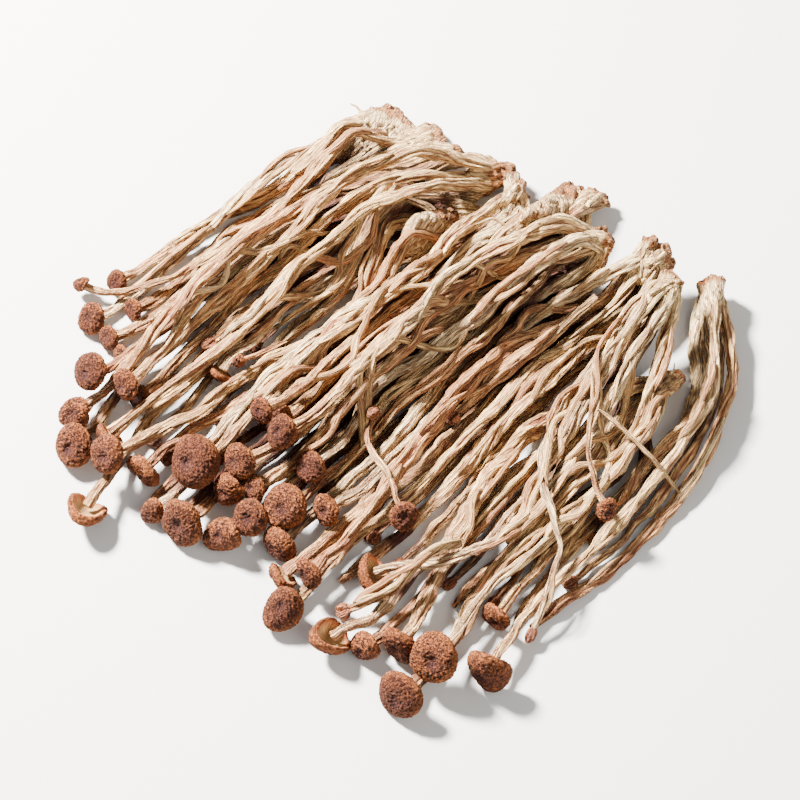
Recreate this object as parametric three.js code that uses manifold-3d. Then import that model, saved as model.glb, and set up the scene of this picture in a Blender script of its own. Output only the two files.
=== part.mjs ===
// A bunch of dried tea tree mushrooms (Cyclocybe aegerita), lying in a heap as it was picked: ten
// clumps, each with its stems grown together at the foot, a wrinkled cap at the end of most stems, and
// three loose stems. Millimetres, +Z up. The heap lies on z = 0, its feet towards +X +Y and its caps
// towards -X -Y, and its origin is below the middle of its outer box.
import * as THREE from 'three';
import { ConvexGeometry } from 'three/addons/geometries/ConvexGeometry.js';
import { LoftGeometry } from 'three/addons/geometries/LoftGeometry.js';
import { mergeVertices } from 'three/addons/utils/BufferGeometryUtils.js';
import Module from 'manifold-3d';

const wasm = await Module();
wasm.setup();

// ---- driving dimensions ------------------------------------------------------------------------

const STEM_SIDES = 5; // a stem's section is a pentagon with a flat side down
const STEM_STEPS = 8; // lengths of straight tube along a stem
const BENT_STEPS = 10; // and along one with bends of its own
const THIN_STEM = 4.2;
const THICK_STEM = 6;
const ROOT_TAPER = 1.06; // a stem's thickness at its foot, without the flare, as a share of its own
const TIP_TAPER = 0.78; // and under its cap
const FOOT_FLARE = 0.25; // how much wider a stem is where it leaves its foot
const FLARE_LENGTH = 8;

const FOOT_COLUMNS = 3; // stems stand side by side in a foot, and on top of one another
const FOOT_PITCH = 5;
const SHORT_TAIL = 3; // a foot reaches back behind the place where its stems come free
const LONG_TAIL = 9;
const FUSED_LENGTH = 8; // stems of one clump are grown together over this length
const FREE_LENGTH = 15; // and quite apart from here on
const FUSED_SHARE = 0.5; // how far apart fused stems are, as a share of their thickness
const LEAVE_LENGTH = 14; // stems leave their foot side by side over this length
const FOOT_SEAT = 4; // a stem's tube starts this far into its foot
const FOOT_BACK = 0.85; // how the foot wraps its stems' tails, as shares of their thickness
const FOOT_FRONT = 1.1;
const PRESSED_GAP = 0.35; // what presses into a foot stays this far from it
const SMALLEST_EDGE = 0.03; // details smaller than this go when stems are joined

// Where a stem without bends of its own wanders aside, as shares of its way, and how far.
const WANDER_STOPS = [0.3, 0.6, 0.85];
const WANDER = 4.5;
const HEAD_WANDER = 2; // and beyond this share of its way
const HEAD_SHARE = 0.8;
const LONG_CHORD = 50; // a stem with bends wanders once if it has this far to go to the first

const CAP_SIDES = 8;
const CAP_LIFT = 34; // degrees above level that a cap faces, where the clump doesn't say otherwise
const NECK_SHARE = 0.36; // straight end of a stem below its cap, as a share of the cap's width
const SHORTEST_NECK = 3;

const CLEARANCE = 0.65; // between any two neighbours in the heap
const SEAT_GAP = 0.35; // between a stem's end and the hollow of its cap

// How the heap is made to lie: its stems start as level threads, swell, sink and press on one another.
const START_STEP = 0.35; // height from one thread to the next
const FOOT_LEVEL_STEPS = 4; // and, in such steps, from one clump's foot to the next
const FOOT_LEVEL_SPREAD = 0.6; // how much of that a clump's own tails are spread over
const RISING_JOINTS = 3; // over which a thread goes from its foot's height to its own
const THINNEST = 0.05; // a thread's thickness, as a share of the stem's
const SWELL_ROUNDS = 400;
const SINK = 0.1; // mm in each round
const SINK_ROUNDS = 300;
const REST_ROUNDS = 60; // rounds in which pieces only give way to one another
const PAIR_ROUNDS = 10; // rounds for which the list of near pairs is good
const PAIR_MARGIN = 1.5;
const UPPER_YIELD = 0.7; // of two pieces, how much the upper one gives way
const STIFFNESS = 0.12;
const HOMING = 0.012; // how firmly a stem keeps to its route
const FOOT_RADIUS = 4.5; // the tails' ends stay within this of their middle
const FOOT_REACH = 7; // and other clumps stay this far from it
const FOOT_PULL = 0.5; // how much of its foot's move a tail makes in a round

// A cap's section from its top round the rolled rim to the middle of the hollow, as shares of its width:
// distance from its axis, height.
const HOLLOW = 0.06; // how deep below the cap's middle its hollow ends
const CAP_SECTION = [
  [0, 0.26], [0.28, 0.21], [0.45, 0.06], [0.49, -0.08], [0.42, -0.19], [0.22, -0.13], [0, -HOLLOW],
];
const HOLLOW_SLOPE = 0.32;
// The same cap as rings of balls, for finding what it touches: distance from its axis, height, ball
// radius, balls in the ring.
const CAP_BALLS = [[0.33, -0.05, 0.18, 8], [0.20, 0.08, 0.19, 6], [0, 0.02, 0.29, 1]];

// ---- colours -----------------------------------------------------------------------------------

const STEM = new THREE.MeshStandardMaterial({ color: 0xd9b48a, roughness: 0.85, metalness: 0 });
const CAP = new THREE.MeshStandardMaterial({ color: 0x8a5238, roughness: 0.95, metalness: 0 });

// ---- the clumps --------------------------------------------------------------------------------

// foot: where the clump's stems grew together. leave: the way that they leave it. Each mushroom:
// to: the place of its head; cap: its width, left out where the cap has broken off; lift: degrees above
// level that the cap faces, below 0 where it lies on its face; by: bends on the stem's way; stem: its
// thickness; layer: 0 at the bottom of the heap to 3 on top of it, 1 where it isn't given.
const CLUMPS = {
  a: {
    foot: [1, 111], leave: [-0.75, -0.65], mushrooms: [
      { to: [-66, 48], layer: 0 },
      { to: [-74, 30], layer: 0 },
      { to: [-56, 36], layer: 0 },
      { to: [-97, 45], cap: 8 },
      { to: [-103, 32], cap: 10, lift: 45 },
      { to: [-84, 35], cap: 7 },
      { to: [-93, 24], cap: 8 },
      { to: [-96, 18], cap: 8, lift: 20 },
      { to: [-106, 42], cap: 6.5, lift: 50, by: [[-56, 57], [-78, 43], [-93, 37]], stem: 3.6, layer: 2 },
    ],
  },
  b: {
    foot: [14, 108], leave: [0.15, -1], mushrooms: [
      { to: [-78, 8], layer: 0 },
      { to: [-84, -12], layer: 0 },
      { to: [-62, 14], layer: 0 },
      { to: [-102, 5], cap: 12, lift: 50 },
      { to: [-92, 5], cap: 10, lift: 45 },
      { to: [-111, -9], cap: 12, lift: 40 },
      { to: [-90, -2], cap: 8.5 },
      { to: [-109, -21], cap: 14, lift: 50, by: [[-94, -2]] },
      { to: [-97, -18], cap: 11, lift: -30 },
    ],
  },
  c: {
    foot: [26, 84], leave: [-0.75, -0.65], mushrooms: [
      { to: [-70, -14], layer: 0 },
      { to: [-58, -2], layer: 0 },
      { to: [-76, -30], layer: 0 },
      { to: [-100, -37], cap: 14, lift: -48, by: [[-82, -8], [-90, -25]], stem: 5 },
      { to: [-84, -25], cap: 12, lift: 40 },
      { to: [-55, 13], cap: 8, lift: -35, layer: 2 },
      { to: [-50, 10], cap: 5, stem: 2.6, layer: 2 },
      { to: [-44, 21], cap: 5.5, lift: 55, stem: 2.8, layer: 2 },
    ],
  },
  d: {
    foot: [38, 80], leave: [-0.35, -0.95], mushrooms: [
      { to: [-62, -24], layer: 0 },
      { to: [-50, -12], layer: 0 },
      { to: [-70, -40], layer: 0 },
      { to: [-71, -31], cap: 17, lift: 55, layer: 2 },
      { to: [-86, -31], cap: 12, lift: -15 },
      { to: [-82, -43], cap: 9.5 },
      { to: [-47, -10], cap: 6, lift: 50, stem: 3, layer: 2 },
    ],
  },
  e: {
    foot: [47, 69], leave: [-0.4, -0.9], mushrooms: [
      { to: [-42, -32], layer: 0 },
      { to: [-34, -18], layer: 0 },
      { to: [-50, -44], layer: 0 },
      { to: [-77, -52], cap: 15, lift: 25 },
      { to: [-66, -56], cap: 14, lift: 30 },
      { to: [-62, -43], cap: 11.5, lift: 25 },
      { to: [-52, -55], cap: 11.5, lift: 50 },
      { to: [-51, -20], cap: 9, lift: 45, layer: 2 },
      { to: [-52, -28], cap: 8, layer: 2 },
    ],
  },
  f: {
    foot: [62, 57], leave: [-0.7, -0.7], mushrooms: [
      { to: [-24, -36], layer: 0 },
      { to: [-18, -48], layer: 0 },
      { to: [-30, -60], layer: 0 },
      { to: [-42, -22], cap: 11, lift: 50, layer: 2 },
      { to: [-35, -28], cap: 10, lift: 45, layer: 2 },
      { to: [-52, -32], cap: 11, lift: 40 },
      { to: [-49, -37], cap: 9 },
      { to: [-42, -43], cap: 14, lift: 52, layer: 2 },
      { to: [-39, -53], cap: 12, lift: 10 },
      {
        to: [1, -54], cap: 9, lift: 45, stem: 3.2, layer: 3,
        by: [[-8, -12], [-9, -20], [-5, -28], [-2, -40]],
      },
    ],
  },
  g: {
    foot: [76, 50], leave: [-0.35, -0.95], mushrooms: [
      { to: [-14, -52], layer: 0 },
      { to: [-4, -62], layer: 0 },
      { to: [-22, -66], layer: 0 },
      { to: [-31, -42], cap: 10, lift: 45 },
      { to: [-43, -66], cap: 11, lift: -30 },
      { to: [-35, -66], cap: 9.5, lift: 20 },
      { to: [-39, -78], cap: 14.5, lift: 52 },
      {
        to: [-6, -90], cap: 13, lift: 8, stem: 7, layer: 2,
        by: [[65, 18], [56, 3], [49, -7], [29, -44]],
      },
      { to: [31, -88], by: [[47, -33], [48, -56], [41, -74]], stem: 4, layer: 3 },
    ],
  },
  h: {
    foot: [85, 16], leave: [-0.8, -0.6], mushrooms: [
      { to: [8, -74], layer: 0 },
      { to: [16, -64], layer: 0 },
      { to: [22, -82], layer: 0 },
      { to: [-27, -93], cap: 14, lift: -50, by: [[-2, -70], [-9, -79], [-15, -90]] },
      { to: [-15, -74], cap: 13, lift: -42, by: [[51, -31], [32, -57], [11, -68]], layer: 2 },
      { to: [-16, -98], cap: 11, lift: 15 },
      { to: [23, -86], cap: 9.5, lift: 5 },
      {
        to: [64, -51], cap: 7.5, lift: 40, stem: 3, layer: 3,
        by: [[60, -4], [64, -14], [57, -26], [58, -37]],
      },
    ],
  },
  i: {
    foot: [94, 5], leave: [-0.9, -0.45], mushrooms: [
      { to: [20, -72], layer: 0 },
      { to: [32, -78], layer: 0 },
      { to: [42, -64], layer: 0 },
      { to: [2, -104], cap: 15, lift: 30 },
      { to: [10, -94], cap: 15, lift: 45 },
    ],
  },
  j: {
    foot: [108, 25], leave: [-0.2, -1], mushrooms: [
      { to: [34, -86], by: [[108, 4], [86, -32], [60, -64]] },
      { to: [46, -72], by: [[104, -2], [80, -36]] },
      { to: [58, -58], by: [[102, -6], [82, -28]] },
      { to: [64, -44], by: [[102, -8], [84, -22]] },
      { to: [19, -102], cap: 16, lift: 5, by: [[106, 4], [84, -30], [56, -62], [24, -92]] },
    ],
  },
};

// Stems that broke from their clumps and lie on top: the places that they pass, and their thickness.
const LOOSE_STEMS = [
  { route: [[64, 34], [46, 17], [34, 5], [16, -14]], stem: 4.8 },
  { route: [[37, 31], [22, 18], [4, 3], [-12, -16]], stem: 4.6 },
  { route: [[-24, -80], [-11, -77], [4, -70], [22, -60]], stem: 4.8 },
];

// ---- small helpers -----------------------------------------------------------------------------

const UP = new THREE.Vector3(0, 0, 1);
const FLAT_SIDE = Math.cos(Math.PI / STEM_SIDES); // how far out a section's flat side is, in radii

// Numbers from 0 to 1 that are the same every time, for the chances of growth.
function chance(seed) {
  let state = seed * 2654435761 >>> 0;
  return () => {
    state = state + 0x6d2b79f5 >>> 0;
    let mixed = Math.imul(state ^ state >>> 15, state | 1);
    mixed ^= mixed + Math.imul(mixed ^ mixed >>> 7, mixed | 61);
    return ((mixed ^ mixed >>> 14) >>> 0) / 4294967296;
  };
}

const between = (random, low, high) => low + (high - low) * random();
const flat = ([x, y]) => new THREE.Vector3(x, y, 0);
const onTable = (point) => point.setZ(Math.max(0, point.z));

// ---- one stem ----------------------------------------------------------------------------------

// Radius of a stem at a share of its length, from a flared foot to a thinner tip.
function stemRadius(stem, part) {
  const flare = stem.clump === undefined ? 0 : FOOT_FLARE * Math.exp(-part * stem.length / FLARE_LENGTH);
  return stem.thickness / 2 * (THREE.MathUtils.lerp(ROOT_TAPER, TIP_TAPER, part) + flare);
}

// Plan points of a stem: out of the foot beside its neighbours, through its bends, to its head. Between
// the foot and a head with no bends of its own it wanders a little to each side.
function route(stem, random) {
  const foot = flat(stem.foot);
  const leave = flat(stem.leave).normalize();
  const across = new THREE.Vector3(-leave.y, leave.x, 0);
  const start = foot.clone().addScaledVector(across, stem.column * FOOT_PITCH);
  const tail = start.clone().addScaledVector(leave, -stem.tail);
  const free = start.clone().addScaledVector(leave, LEAVE_LENGTH);
  const head = flat(stem.to);
  const bends = (stem.by ?? []).map(flat);
  const chord = (bends[0] ?? head).clone().sub(free);
  const side = new THREE.Vector3(-chord.y, chord.x, 0).normalize();
  const stops = bends.length === 0 ? WANDER_STOPS : chord.length() > LONG_CHORD ? [0.5] : [];
  const wander = stops.map((stop) => {
    const aside = between(random, -1, 1) * (stop > HEAD_SHARE ? HEAD_WANDER : WANDER);
    return free.clone().addScaledVector(chord, stop).addScaledVector(side, aside);
  });
  return [tail, free, ...wander, ...bends, head];
}

// The balls of a cap that faces along axis, as offsets from its middle.
function capBalls(width, axis) {
  const turn = new THREE.Quaternion().setFromUnitVectors(UP, axis);
  return CAP_BALLS.flatMap(([out, up, radius, count]) => Array.from({ length: count }, (_, i) => {
    const angle = 2 * Math.PI * i / count;
    const offset = new THREE.Vector3(out * Math.cos(angle), out * Math.sin(angle), up);
    return { offset: offset.multiplyScalar(width).applyQuaternion(turn), radius: radius * width };
  }));
}

// The way that a cap faces, from the plan direction in which its stem arrives.
function capAxis(stem, arrival) {
  const lift = THREE.MathUtils.degToRad(stem.lift);
  const level = arrival.clone().setZ(0).normalize();
  return level.multiplyScalar(Math.cos(lift)).addScaledVector(UP, Math.sin(lift));
}

// Gives a stem its joints, evenly spaced along its route, still flat on the table. The cap and the neck
// below it are stiff: they keep their places against the last joint.
function strung(stem, points) {
  const head = points[points.length - 1];
  if (stem.cap) {
    stem.axis = capAxis(stem, head.clone().sub(points[points.length - 2]));
    const end = HOLLOW * stem.cap + HOLLOW_SLOPE * stem.thickness / 2 * TIP_TAPER + SEAT_GAP;
    const neck = Math.max(SHORTEST_NECK, NECK_SHARE * stem.cap);
    stem.toTip = stem.axis.clone().multiplyScalar(neck);
    stem.toCap = stem.axis.clone().multiplyScalar(neck + end);
    points = [...points.slice(0, -1), head.clone().sub(stem.toCap).setZ(0)];
  }
  const curve = new THREE.CatmullRomCurve3(points, false, 'centripetal');
  stem.length = curve.getLength();
  stem.joints = curve.getSpacedPoints(stem.by ? BENT_STEPS : STEM_STEPS);
  return stem;
}

// ---- the heap ----------------------------------------------------------------------------------

// The solid lengths of a stem: from one joint to the next, the neck, and the balls of the cap. Each is
// { from, to, fromOffset, toOffset, fromRadius, toRadius, stem, part, share }.
const NO_OFFSET = new THREE.Vector3();

function lengthsOf(stem) {
  const steps = stem.joints.length - 1;
  const lengths = Array.from({ length: steps }, (_, i) => ({
    from: stem.joints[i], to: stem.joints[i + 1], fromOffset: NO_OFFSET, toOffset: NO_OFFSET,
    fromRadius: stemRadius(stem, i / steps), toRadius: stemRadius(stem, (i + 1) / steps),
    stem, start: i / steps * stem.length, run: stem.length / steps, place: i,
  }));
  if (!stem.cap) return lengths;
  const last = stem.joints[steps];
  const tip = stemRadius(stem, 1);
  const fixed = (fromOffset, toOffset, radius) => lengths.push({
    from: last, to: last, fromOffset, toOffset, fromRadius: radius, toRadius: radius,
    stem, start: Infinity, run: 0, place: Infinity,
  });
  fixed(NO_OFFSET, stem.toTip, tip);
  for (const { offset, radius } of capBalls(stem.cap, stem.axis)) {
    const place = stem.toCap.clone().add(offset);
    fixed(place, place, radius);
  }
  return lengths;
}

// How much of the full distance two lengths keep where they come closest: less near the foot of the
// clump that both grow from.
function keptShare(one, other, alongOne, alongOther) {
  if (one.stem.clump === undefined || one.stem.clump !== other.stem.clump) return 1;
  const along = THREE.MathUtils.clamp(Math.max(alongOne, alongOther), FUSED_LENGTH, FREE_LENGTH);
  return THREE.MathUtils.mapLinear(along, FUSED_LENGTH, FREE_LENGTH, FUSED_SHARE, 1);
}

// Two lengths of the same stem that are joined, or nearly so, never press on each other.
function mayTouch(one, other) {
  if (one.isFoot || other.isFoot) return one.stem.clump !== other.stem.clump;
  if (one.stem !== other.stem) return true;
  if (!Number.isFinite(one.place) || !Number.isFinite(other.place)) return false;
  return Math.abs(one.place - other.place) > 2;
}

// Where two lengths come closest: shares along each, and the way and distance from the first to the
// second.
function closest(one, other) {
  const ax = one.from.x + one.fromOffset.x;
  const ay = one.from.y + one.fromOffset.y;
  const az = one.from.z + one.fromOffset.z;
  const bx = other.from.x + other.fromOffset.x;
  const by = other.from.y + other.fromOffset.y;
  const bz = other.from.z + other.fromOffset.z;
  const ux = one.to.x + one.toOffset.x - ax;
  const uy = one.to.y + one.toOffset.y - ay;
  const uz = one.to.z + one.toOffset.z - az;
  const vx = other.to.x + other.toOffset.x - bx;
  const vy = other.to.y + other.toOffset.y - by;
  const vz = other.to.z + other.toOffset.z - bz;
  const wx = ax - bx;
  const wy = ay - by;
  const wz = az - bz;
  const uu = ux * ux + uy * uy + uz * uz;
  const vv = vx * vx + vy * vy + vz * vz;
  const uv = ux * vx + uy * vy + uz * vz;
  const uw = ux * wx + uy * wy + uz * wz;
  const vw = vx * wx + vy * wy + vz * wz;
  const clamp = (value) => Math.min(1, Math.max(0, value));
  const cross = uu * vv - uv * uv;
  let s = cross > 1e-9 ? clamp((uv * vw - vv * uw) / cross) : 0;
  const t = vv > 1e-9 ? clamp((uv * s + vw) / vv) : 0;
  s = uu > 1e-9 ? clamp((uv * t - uw) / uu) : 0;
  const dx = bx + t * vx - ax - s * ux;
  const dy = by + t * vy - ay - s * uy;
  const dz = bz + t * vz - az - s * uz;
  return { s, t, dx, dy, dz, distance: Math.hypot(dx, dy, dz) };
}

// Moves the ends of a length so that its point at share s moves by the given step.
function push(length, s, x, y, z) {
  if (length.from === length.to) {
    length.from.x += x;
    length.from.y += y;
    length.from.z += z;
    return;
  }
  const whole = s * s + (1 - s) * (1 - s);
  const near = (1 - s) / whole;
  const far = s / whole;
  length.from.x += near * x;
  length.from.y += near * y;
  length.from.z += near * z;
  length.to.x += far * x;
  length.to.y += far * y;
  length.to.z += far * z;
}

// Keeps two lengths apart. The upper one gives way more than the one that bears it.
function separate(one, other, swell) {
  const { s, t, dx, dy, dz, distance } = closest(one, other);
  const radii = one.fromRadius + s * (one.toRadius - one.fromRadius)
    + other.fromRadius + t * (other.toRadius - other.fromRadius);
  const far = swell * (radii + CLEARANCE);
  if (distance >= far) return;
  const kept = keptShare(one, other, one.start + s * one.run, other.start + t * other.run);
  const missing = far * kept - distance;
  if (missing <= 0) return;
  const scale = missing / Math.max(distance, 1e-3);
  const yieldOfOther = dz > 0 ? UPPER_YIELD : 1 - UPPER_YIELD;
  push(other, t, dx * scale * yieldOfOther, dy * scale * yieldOfOther, dz * scale * yieldOfOther);
  const yieldOfOne = yieldOfOther - 1;
  push(one, s, dx * scale * yieldOfOne, dy * scale * yieldOfOne, dz * scale * yieldOfOne);
}

// The pairs of lengths that may come to touch within the next few rounds, the lowest pairs first.
function nearPairs(lengths) {
  const boxed = lengths.map((length) => {
    const reach = Math.max(length.fromRadius, length.toRadius) + CLEARANCE + PAIR_MARGIN;
    const from = length.from.clone().add(length.fromOffset);
    const to = length.to.clone().add(length.toOffset);
    return { length, low: from.clone().min(to).subScalar(reach), high: from.max(to).addScalar(reach) };
  }).sort((one, other) => one.low.x - other.low.x);
  const pairs = [];
  boxed.forEach((one, i) => {
    for (let j = i + 1; j < boxed.length && boxed[j].low.x < one.high.x; j += 1) {
      const other = boxed[j];
      if (other.low.y > one.high.y || one.low.y > other.high.y) continue;
      if (other.low.z > one.high.z || one.low.z > other.high.z) continue;
      if (!mayTouch(one.length, other.length)) continue;
      pairs.push([one.length, other.length, one.low.z + other.low.z]);
    }
  });
  return pairs.sort((one, other) => one[2] - other[2]);
}

// A stem keeps its length, is stiff, and stays near its route.
function holdShape(stem) {
  const { joints, length, home, bend } = stem;
  const rest = length / (joints.length - 1);
  for (let i = 0; i + 1 < joints.length; i += 1) {
    const run = joints[i + 1].clone().sub(joints[i]);
    const error = (run.length() - rest) / run.length() / 2;
    joints[i].addScaledVector(run, error);
    joints[i + 1].addScaledVector(run, -error);
  }
  for (let i = 1; i + 1 < joints.length; i += 1) {
    const between = joints[i - 1].clone().add(joints[i + 1]).multiplyScalar(0.5);
    const straight = between.add(bend[i]).sub(joints[i]);
    joints[i].addScaledVector(straight, STIFFNESS);
    joints[i - 1].addScaledVector(straight, -STIFFNESS / 2);
    joints[i + 1].addScaledVector(straight, -STIFFNESS / 2);
  }
  joints.forEach((joint, i) => {
    joint.x += HOMING * (home[i].x - joint.x);
    joint.y += HOMING * (home[i].y - joint.y);
  });
}

// The foot of a clump as one more length, which the other clumps press on: from the middle of its tails'
// ends to where they come free.
function footOf(letter, stems) {
  const [from, to] = [new THREE.Vector3(), new THREE.Vector3()];
  const stem = { clump: letter };
  const length = { from, to, fromOffset: NO_OFFSET, toOffset: NO_OFFSET, fromRadius: FOOT_REACH,
    toRadius: FOOT_REACH, stem, start: 0, run: FUSED_LENGTH, place: 0, isFoot: true };
  const foot = { stems, length };
  centreFoot(foot);
  return foot;
}

// The two ends of a foot, from its stems.
function footEnds(stems) {
  const ends = [new THREE.Vector3(), new THREE.Vector3()];
  for (const { joints: [tail, free] } of stems) {
    const front = tail.clone().lerp(free, FUSED_LENGTH / tail.distanceTo(free));
    ends[0].addScaledVector(tail, 1 / stems.length);
    ends[1].addScaledVector(front, 1 / stems.length);
  }
  return ends;
}

function centreFoot({ stems, length }) {
  const [back, front] = footEnds(stems);
  length.from.copy(back);
  length.to.copy(front);
}

// The tails of a clump go where their foot has been pushed, and stay bunched together in it.
function holdFoot(foot) {
  const { stems, length } = foot;
  const [back] = footEnds(stems);
  const pushed = length.from.clone().sub(back);
  for (const { joints: [tail, free] } of stems) {
    tail.add(pushed);
    free.addScaledVector(pushed, FOOT_PULL);
    const away = tail.clone().sub(length.from);
    const over = away.length() - FOOT_RADIUS;
    if (over > 0) tail.addScaledVector(away.normalize(), -over * FOOT_PULL);
  }
  centreFoot(foot);
}

// Nothing reaches below the table.
function holdUp(length, swell) {
  const flatter = swell * (length.run > 0 ? FLAT_SIDE : 1);
  const fromDepth = length.fromRadius * flatter - length.from.z - length.fromOffset.z;
  if (fromDepth > 0) length.from.z += fromDepth;
  const toDepth = length.toRadius * flatter - length.to.z - length.toOffset.z;
  if (toDepth > 0) length.to.z += toDepth;
}

// Every stem of every clump, with its column in the foot: the stems stand in the order of their heads as
// seen from the foot, so that they fan out without tangling.
function grownStems() {
  return Object.entries(CLUMPS).flatMap(([letter, clump], c) => {
    const leave = flat(clump.leave);
    const bearing = (mushroom) => {
      const way = flat(mushroom.by?.[0] ?? mushroom.to).sub(flat(clump.foot));
      return Math.atan2(leave.x * way.y - leave.y * way.x, leave.dot(way));
    };
    const order = clump.mushrooms.slice().sort((one, other) => bearing(one) - bearing(other));
    return clump.mushrooms.map((mushroom, m) => {
      const random = chance(100 * c + m + 1);
      const thickness = mushroom.stem ?? between(random, THIN_STEM, THICK_STEM);
      const place = Math.floor(order.indexOf(mushroom) * FOOT_COLUMNS / order.length);
      const column = place - (FOOT_COLUMNS - 1) / 2;
      const tail = between(random, SHORT_TAIL, LONG_TAIL);
      return {
        layer: 1, lift: CAP_LIFT, ...mushroom, clump: letter, foot: clump.foot, leave: clump.leave,
        thickness, column, tail, random, number: m + 1,
      };
    });
  });
}

// Makes the heap. At first every stem is level and as thin as a thread, each at a height of its own, and
// its foot at the height of its clump. Then all swell to their thickness, sink together, bend a little,
// slide off one another and come to rest.
function heapUp() {
  const letters = Object.keys(CLUMPS);
  const rank = (stem) => stem.layer * 100 + letters.indexOf(stem.clump);
  const grown = grownStems().sort((one, other) => rank(one) - rank(other));
  const loose = LOOSE_STEMS.map(({ route: places, stem: thickness }, i) => (
    { bends: places.map(flat), by: [], thickness, number: i + 1 }));
  const stems = [...grown, ...loose].map((stem) => strung(stem, stem.bends ?? route(stem, stem.random)));
  stems.forEach((stem, order) => {
    const level = order * START_STEP;
    const spread = FOOT_LEVEL_SPREAD * (level / stems.length / START_STEP - 0.5);
    const footLevel = stem.clump === undefined ? level
      : (letters.indexOf(stem.clump) + 0.5 + spread) * START_STEP * FOOT_LEVEL_STEPS;
    stem.joints.forEach((joint, i) => {
      joint.z = START_STEP + THREE.MathUtils.lerp(footLevel, level, Math.min(1, i / RISING_JOINTS));
    });
    stem.home = stem.joints.map((joint) => joint.clone());
    stem.bend = stem.joints.map((joint, i, all) => {
      if (i === 0 || i === all.length - 1) return NO_OFFSET;
      return joint.clone().sub(all[i - 1].clone().add(all[i + 1]).multiplyScalar(0.5)).setZ(0);
    });
  });
  const lengths = stems.flatMap(lengthsOf);
  const feet = letters.map((letter) => footOf(letter, stems.filter((stem) => stem.clump === letter)));
  const pressing = [...lengths, ...feet.map(({ length }) => length)];
  let pairs = [];
  for (let round = 0; round < SWELL_ROUNDS + SINK_ROUNDS + REST_ROUNDS; round += 1) {
    if (round % PAIR_ROUNDS === 0) pairs = nearPairs(pressing);
    const swell = Math.min(1, THINNEST + round / SWELL_ROUNDS);
    if (round < SWELL_ROUNDS + SINK_ROUNDS) {
      for (const stem of stems) {
        for (const joint of stem.joints) joint.z -= SINK;
        holdShape(stem);
      }
    }
    feet.forEach(holdFoot);
    for (const [one, other] of pairs) separate(one, other, swell);
    for (const length of lengths) holdUp(length, swell);
  }
  return stems;
}

// ---- solids ------------------------------------------------------------------------------------

// One section of a stem at a place along it, with a flat side down.
function stemSection(place, ahead, radius) {
  const along = ahead.clone().normalize();
  const up = UP.clone().addScaledVector(along, -along.z).normalize();
  const side = up.clone().cross(along);
  return Array.from({ length: STEM_SIDES }, (_, i) => {
    const angle = Math.PI / 2 + 2 * Math.PI * i / STEM_SIDES;
    const point = place.clone().addScaledVector(side, radius * Math.cos(angle));
    return onTable(point.addScaledVector(up, radius * Math.sin(angle)));
  });
}

// A stem as a tapered tube with flat ends, from inside its foot to the seat of its cap. With a gap, it is
// that much thicker all round.
function stemGeometry(stem, gap = 0) {
  const { joints } = stem;
  const last = joints.length - 1;
  const places = joints.slice();
  if (stem.clump !== undefined) {
    places[0] = joints[0].clone().lerp(joints[1], FOOT_SEAT / joints[0].distanceTo(joints[1]));
  }
  if (stem.cap) places.push(joints[last].clone().add(stem.toTip));
  const sections = places.map((place, i) => {
    const ahead = places[Math.min(places.length - 1, i + 1)].clone().sub(places[Math.max(0, i - 1)]);
    return stemSection(place, ahead, stemRadius(stem, Math.min(1, i / last)) + gap / FLAT_SIDE);
  });
  return new LoftGeometry(sections, { capStart: true, capEnd: true });
}

// The foot of a clump: the lump that wraps the tails of its stems.
function footGeometry(stems, gap = 0) {
  return new ConvexGeometry(stems.flatMap((stem) => {
    const [tail, free] = stem.joints;
    const ahead = free.clone().sub(tail).normalize();
    const back = tail.clone().addScaledVector(ahead, -gap);
    const front = tail.clone().addScaledVector(ahead, FUSED_LENGTH);
    const radius = stemRadius(stem, 0);
    return [
      ...stemSection(back, ahead, radius * FOOT_BACK + gap),
      ...stemSection(front, ahead, radius * FOOT_FRONT + gap),
    ];
  }));
}

// A closed three.js shape as a solid that can be joined, and the other way round.
function toSolid(geometry) {
  const bare = new THREE.BufferGeometry();
  bare.setAttribute('position', geometry.getAttribute('position'));
  bare.setIndex(geometry.getIndex());
  const merged = mergeVertices(bare, 1e-4);
  const vertProperties = Float32Array.from(merged.getAttribute('position').array);
  const triVerts = Uint32Array.from(merged.getIndex().array);
  return new wasm.Manifold(new wasm.Mesh({ numProp: 3, vertProperties, triVerts }));
}

function toGeometry(solid) {
  const mesh = solid.getMesh();
  const geometry = new THREE.BufferGeometry();
  geometry.setAttribute('position', new THREE.BufferAttribute(mesh.vertProperties, 3));
  geometry.setIndex(new THREE.BufferAttribute(mesh.triVerts, 1));
  geometry.computeVertexNormals();
  return geometry;
}

// A clump: its foot and its stems, grown together into one body. The foot gives way where the stems of
// other clumps and the feet of the clumps above it press into it.
function clumpGeometry(letter, stems) {
  const own = stems.filter((stem) => stem.clump === letter);
  const others = stems.filter((stem) => stem.clump !== letter);
  const above = Object.keys(CLUMPS).filter((other) => other > letter);
  const pressing = [
    ...others.map((stem) => stemGeometry(stem, PRESSED_GAP)),
    ...above.map((other) => footGeometry(others.filter((stem) => stem.clump === other), PRESSED_GAP)),
  ];
  const whole = toSolid(footGeometry(own));
  const foot = pressing.map(toSolid).reduce((left, piece) => left.subtract(piece), whole);
  const tubes = own.map((stem) => toSolid(stemGeometry(stem)));
  const joined = tubes.reduce((clump, tube) => clump.add(tube), foot);
  return toGeometry(joined.asOriginal().simplify(SMALLEST_EDGE));
}

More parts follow.
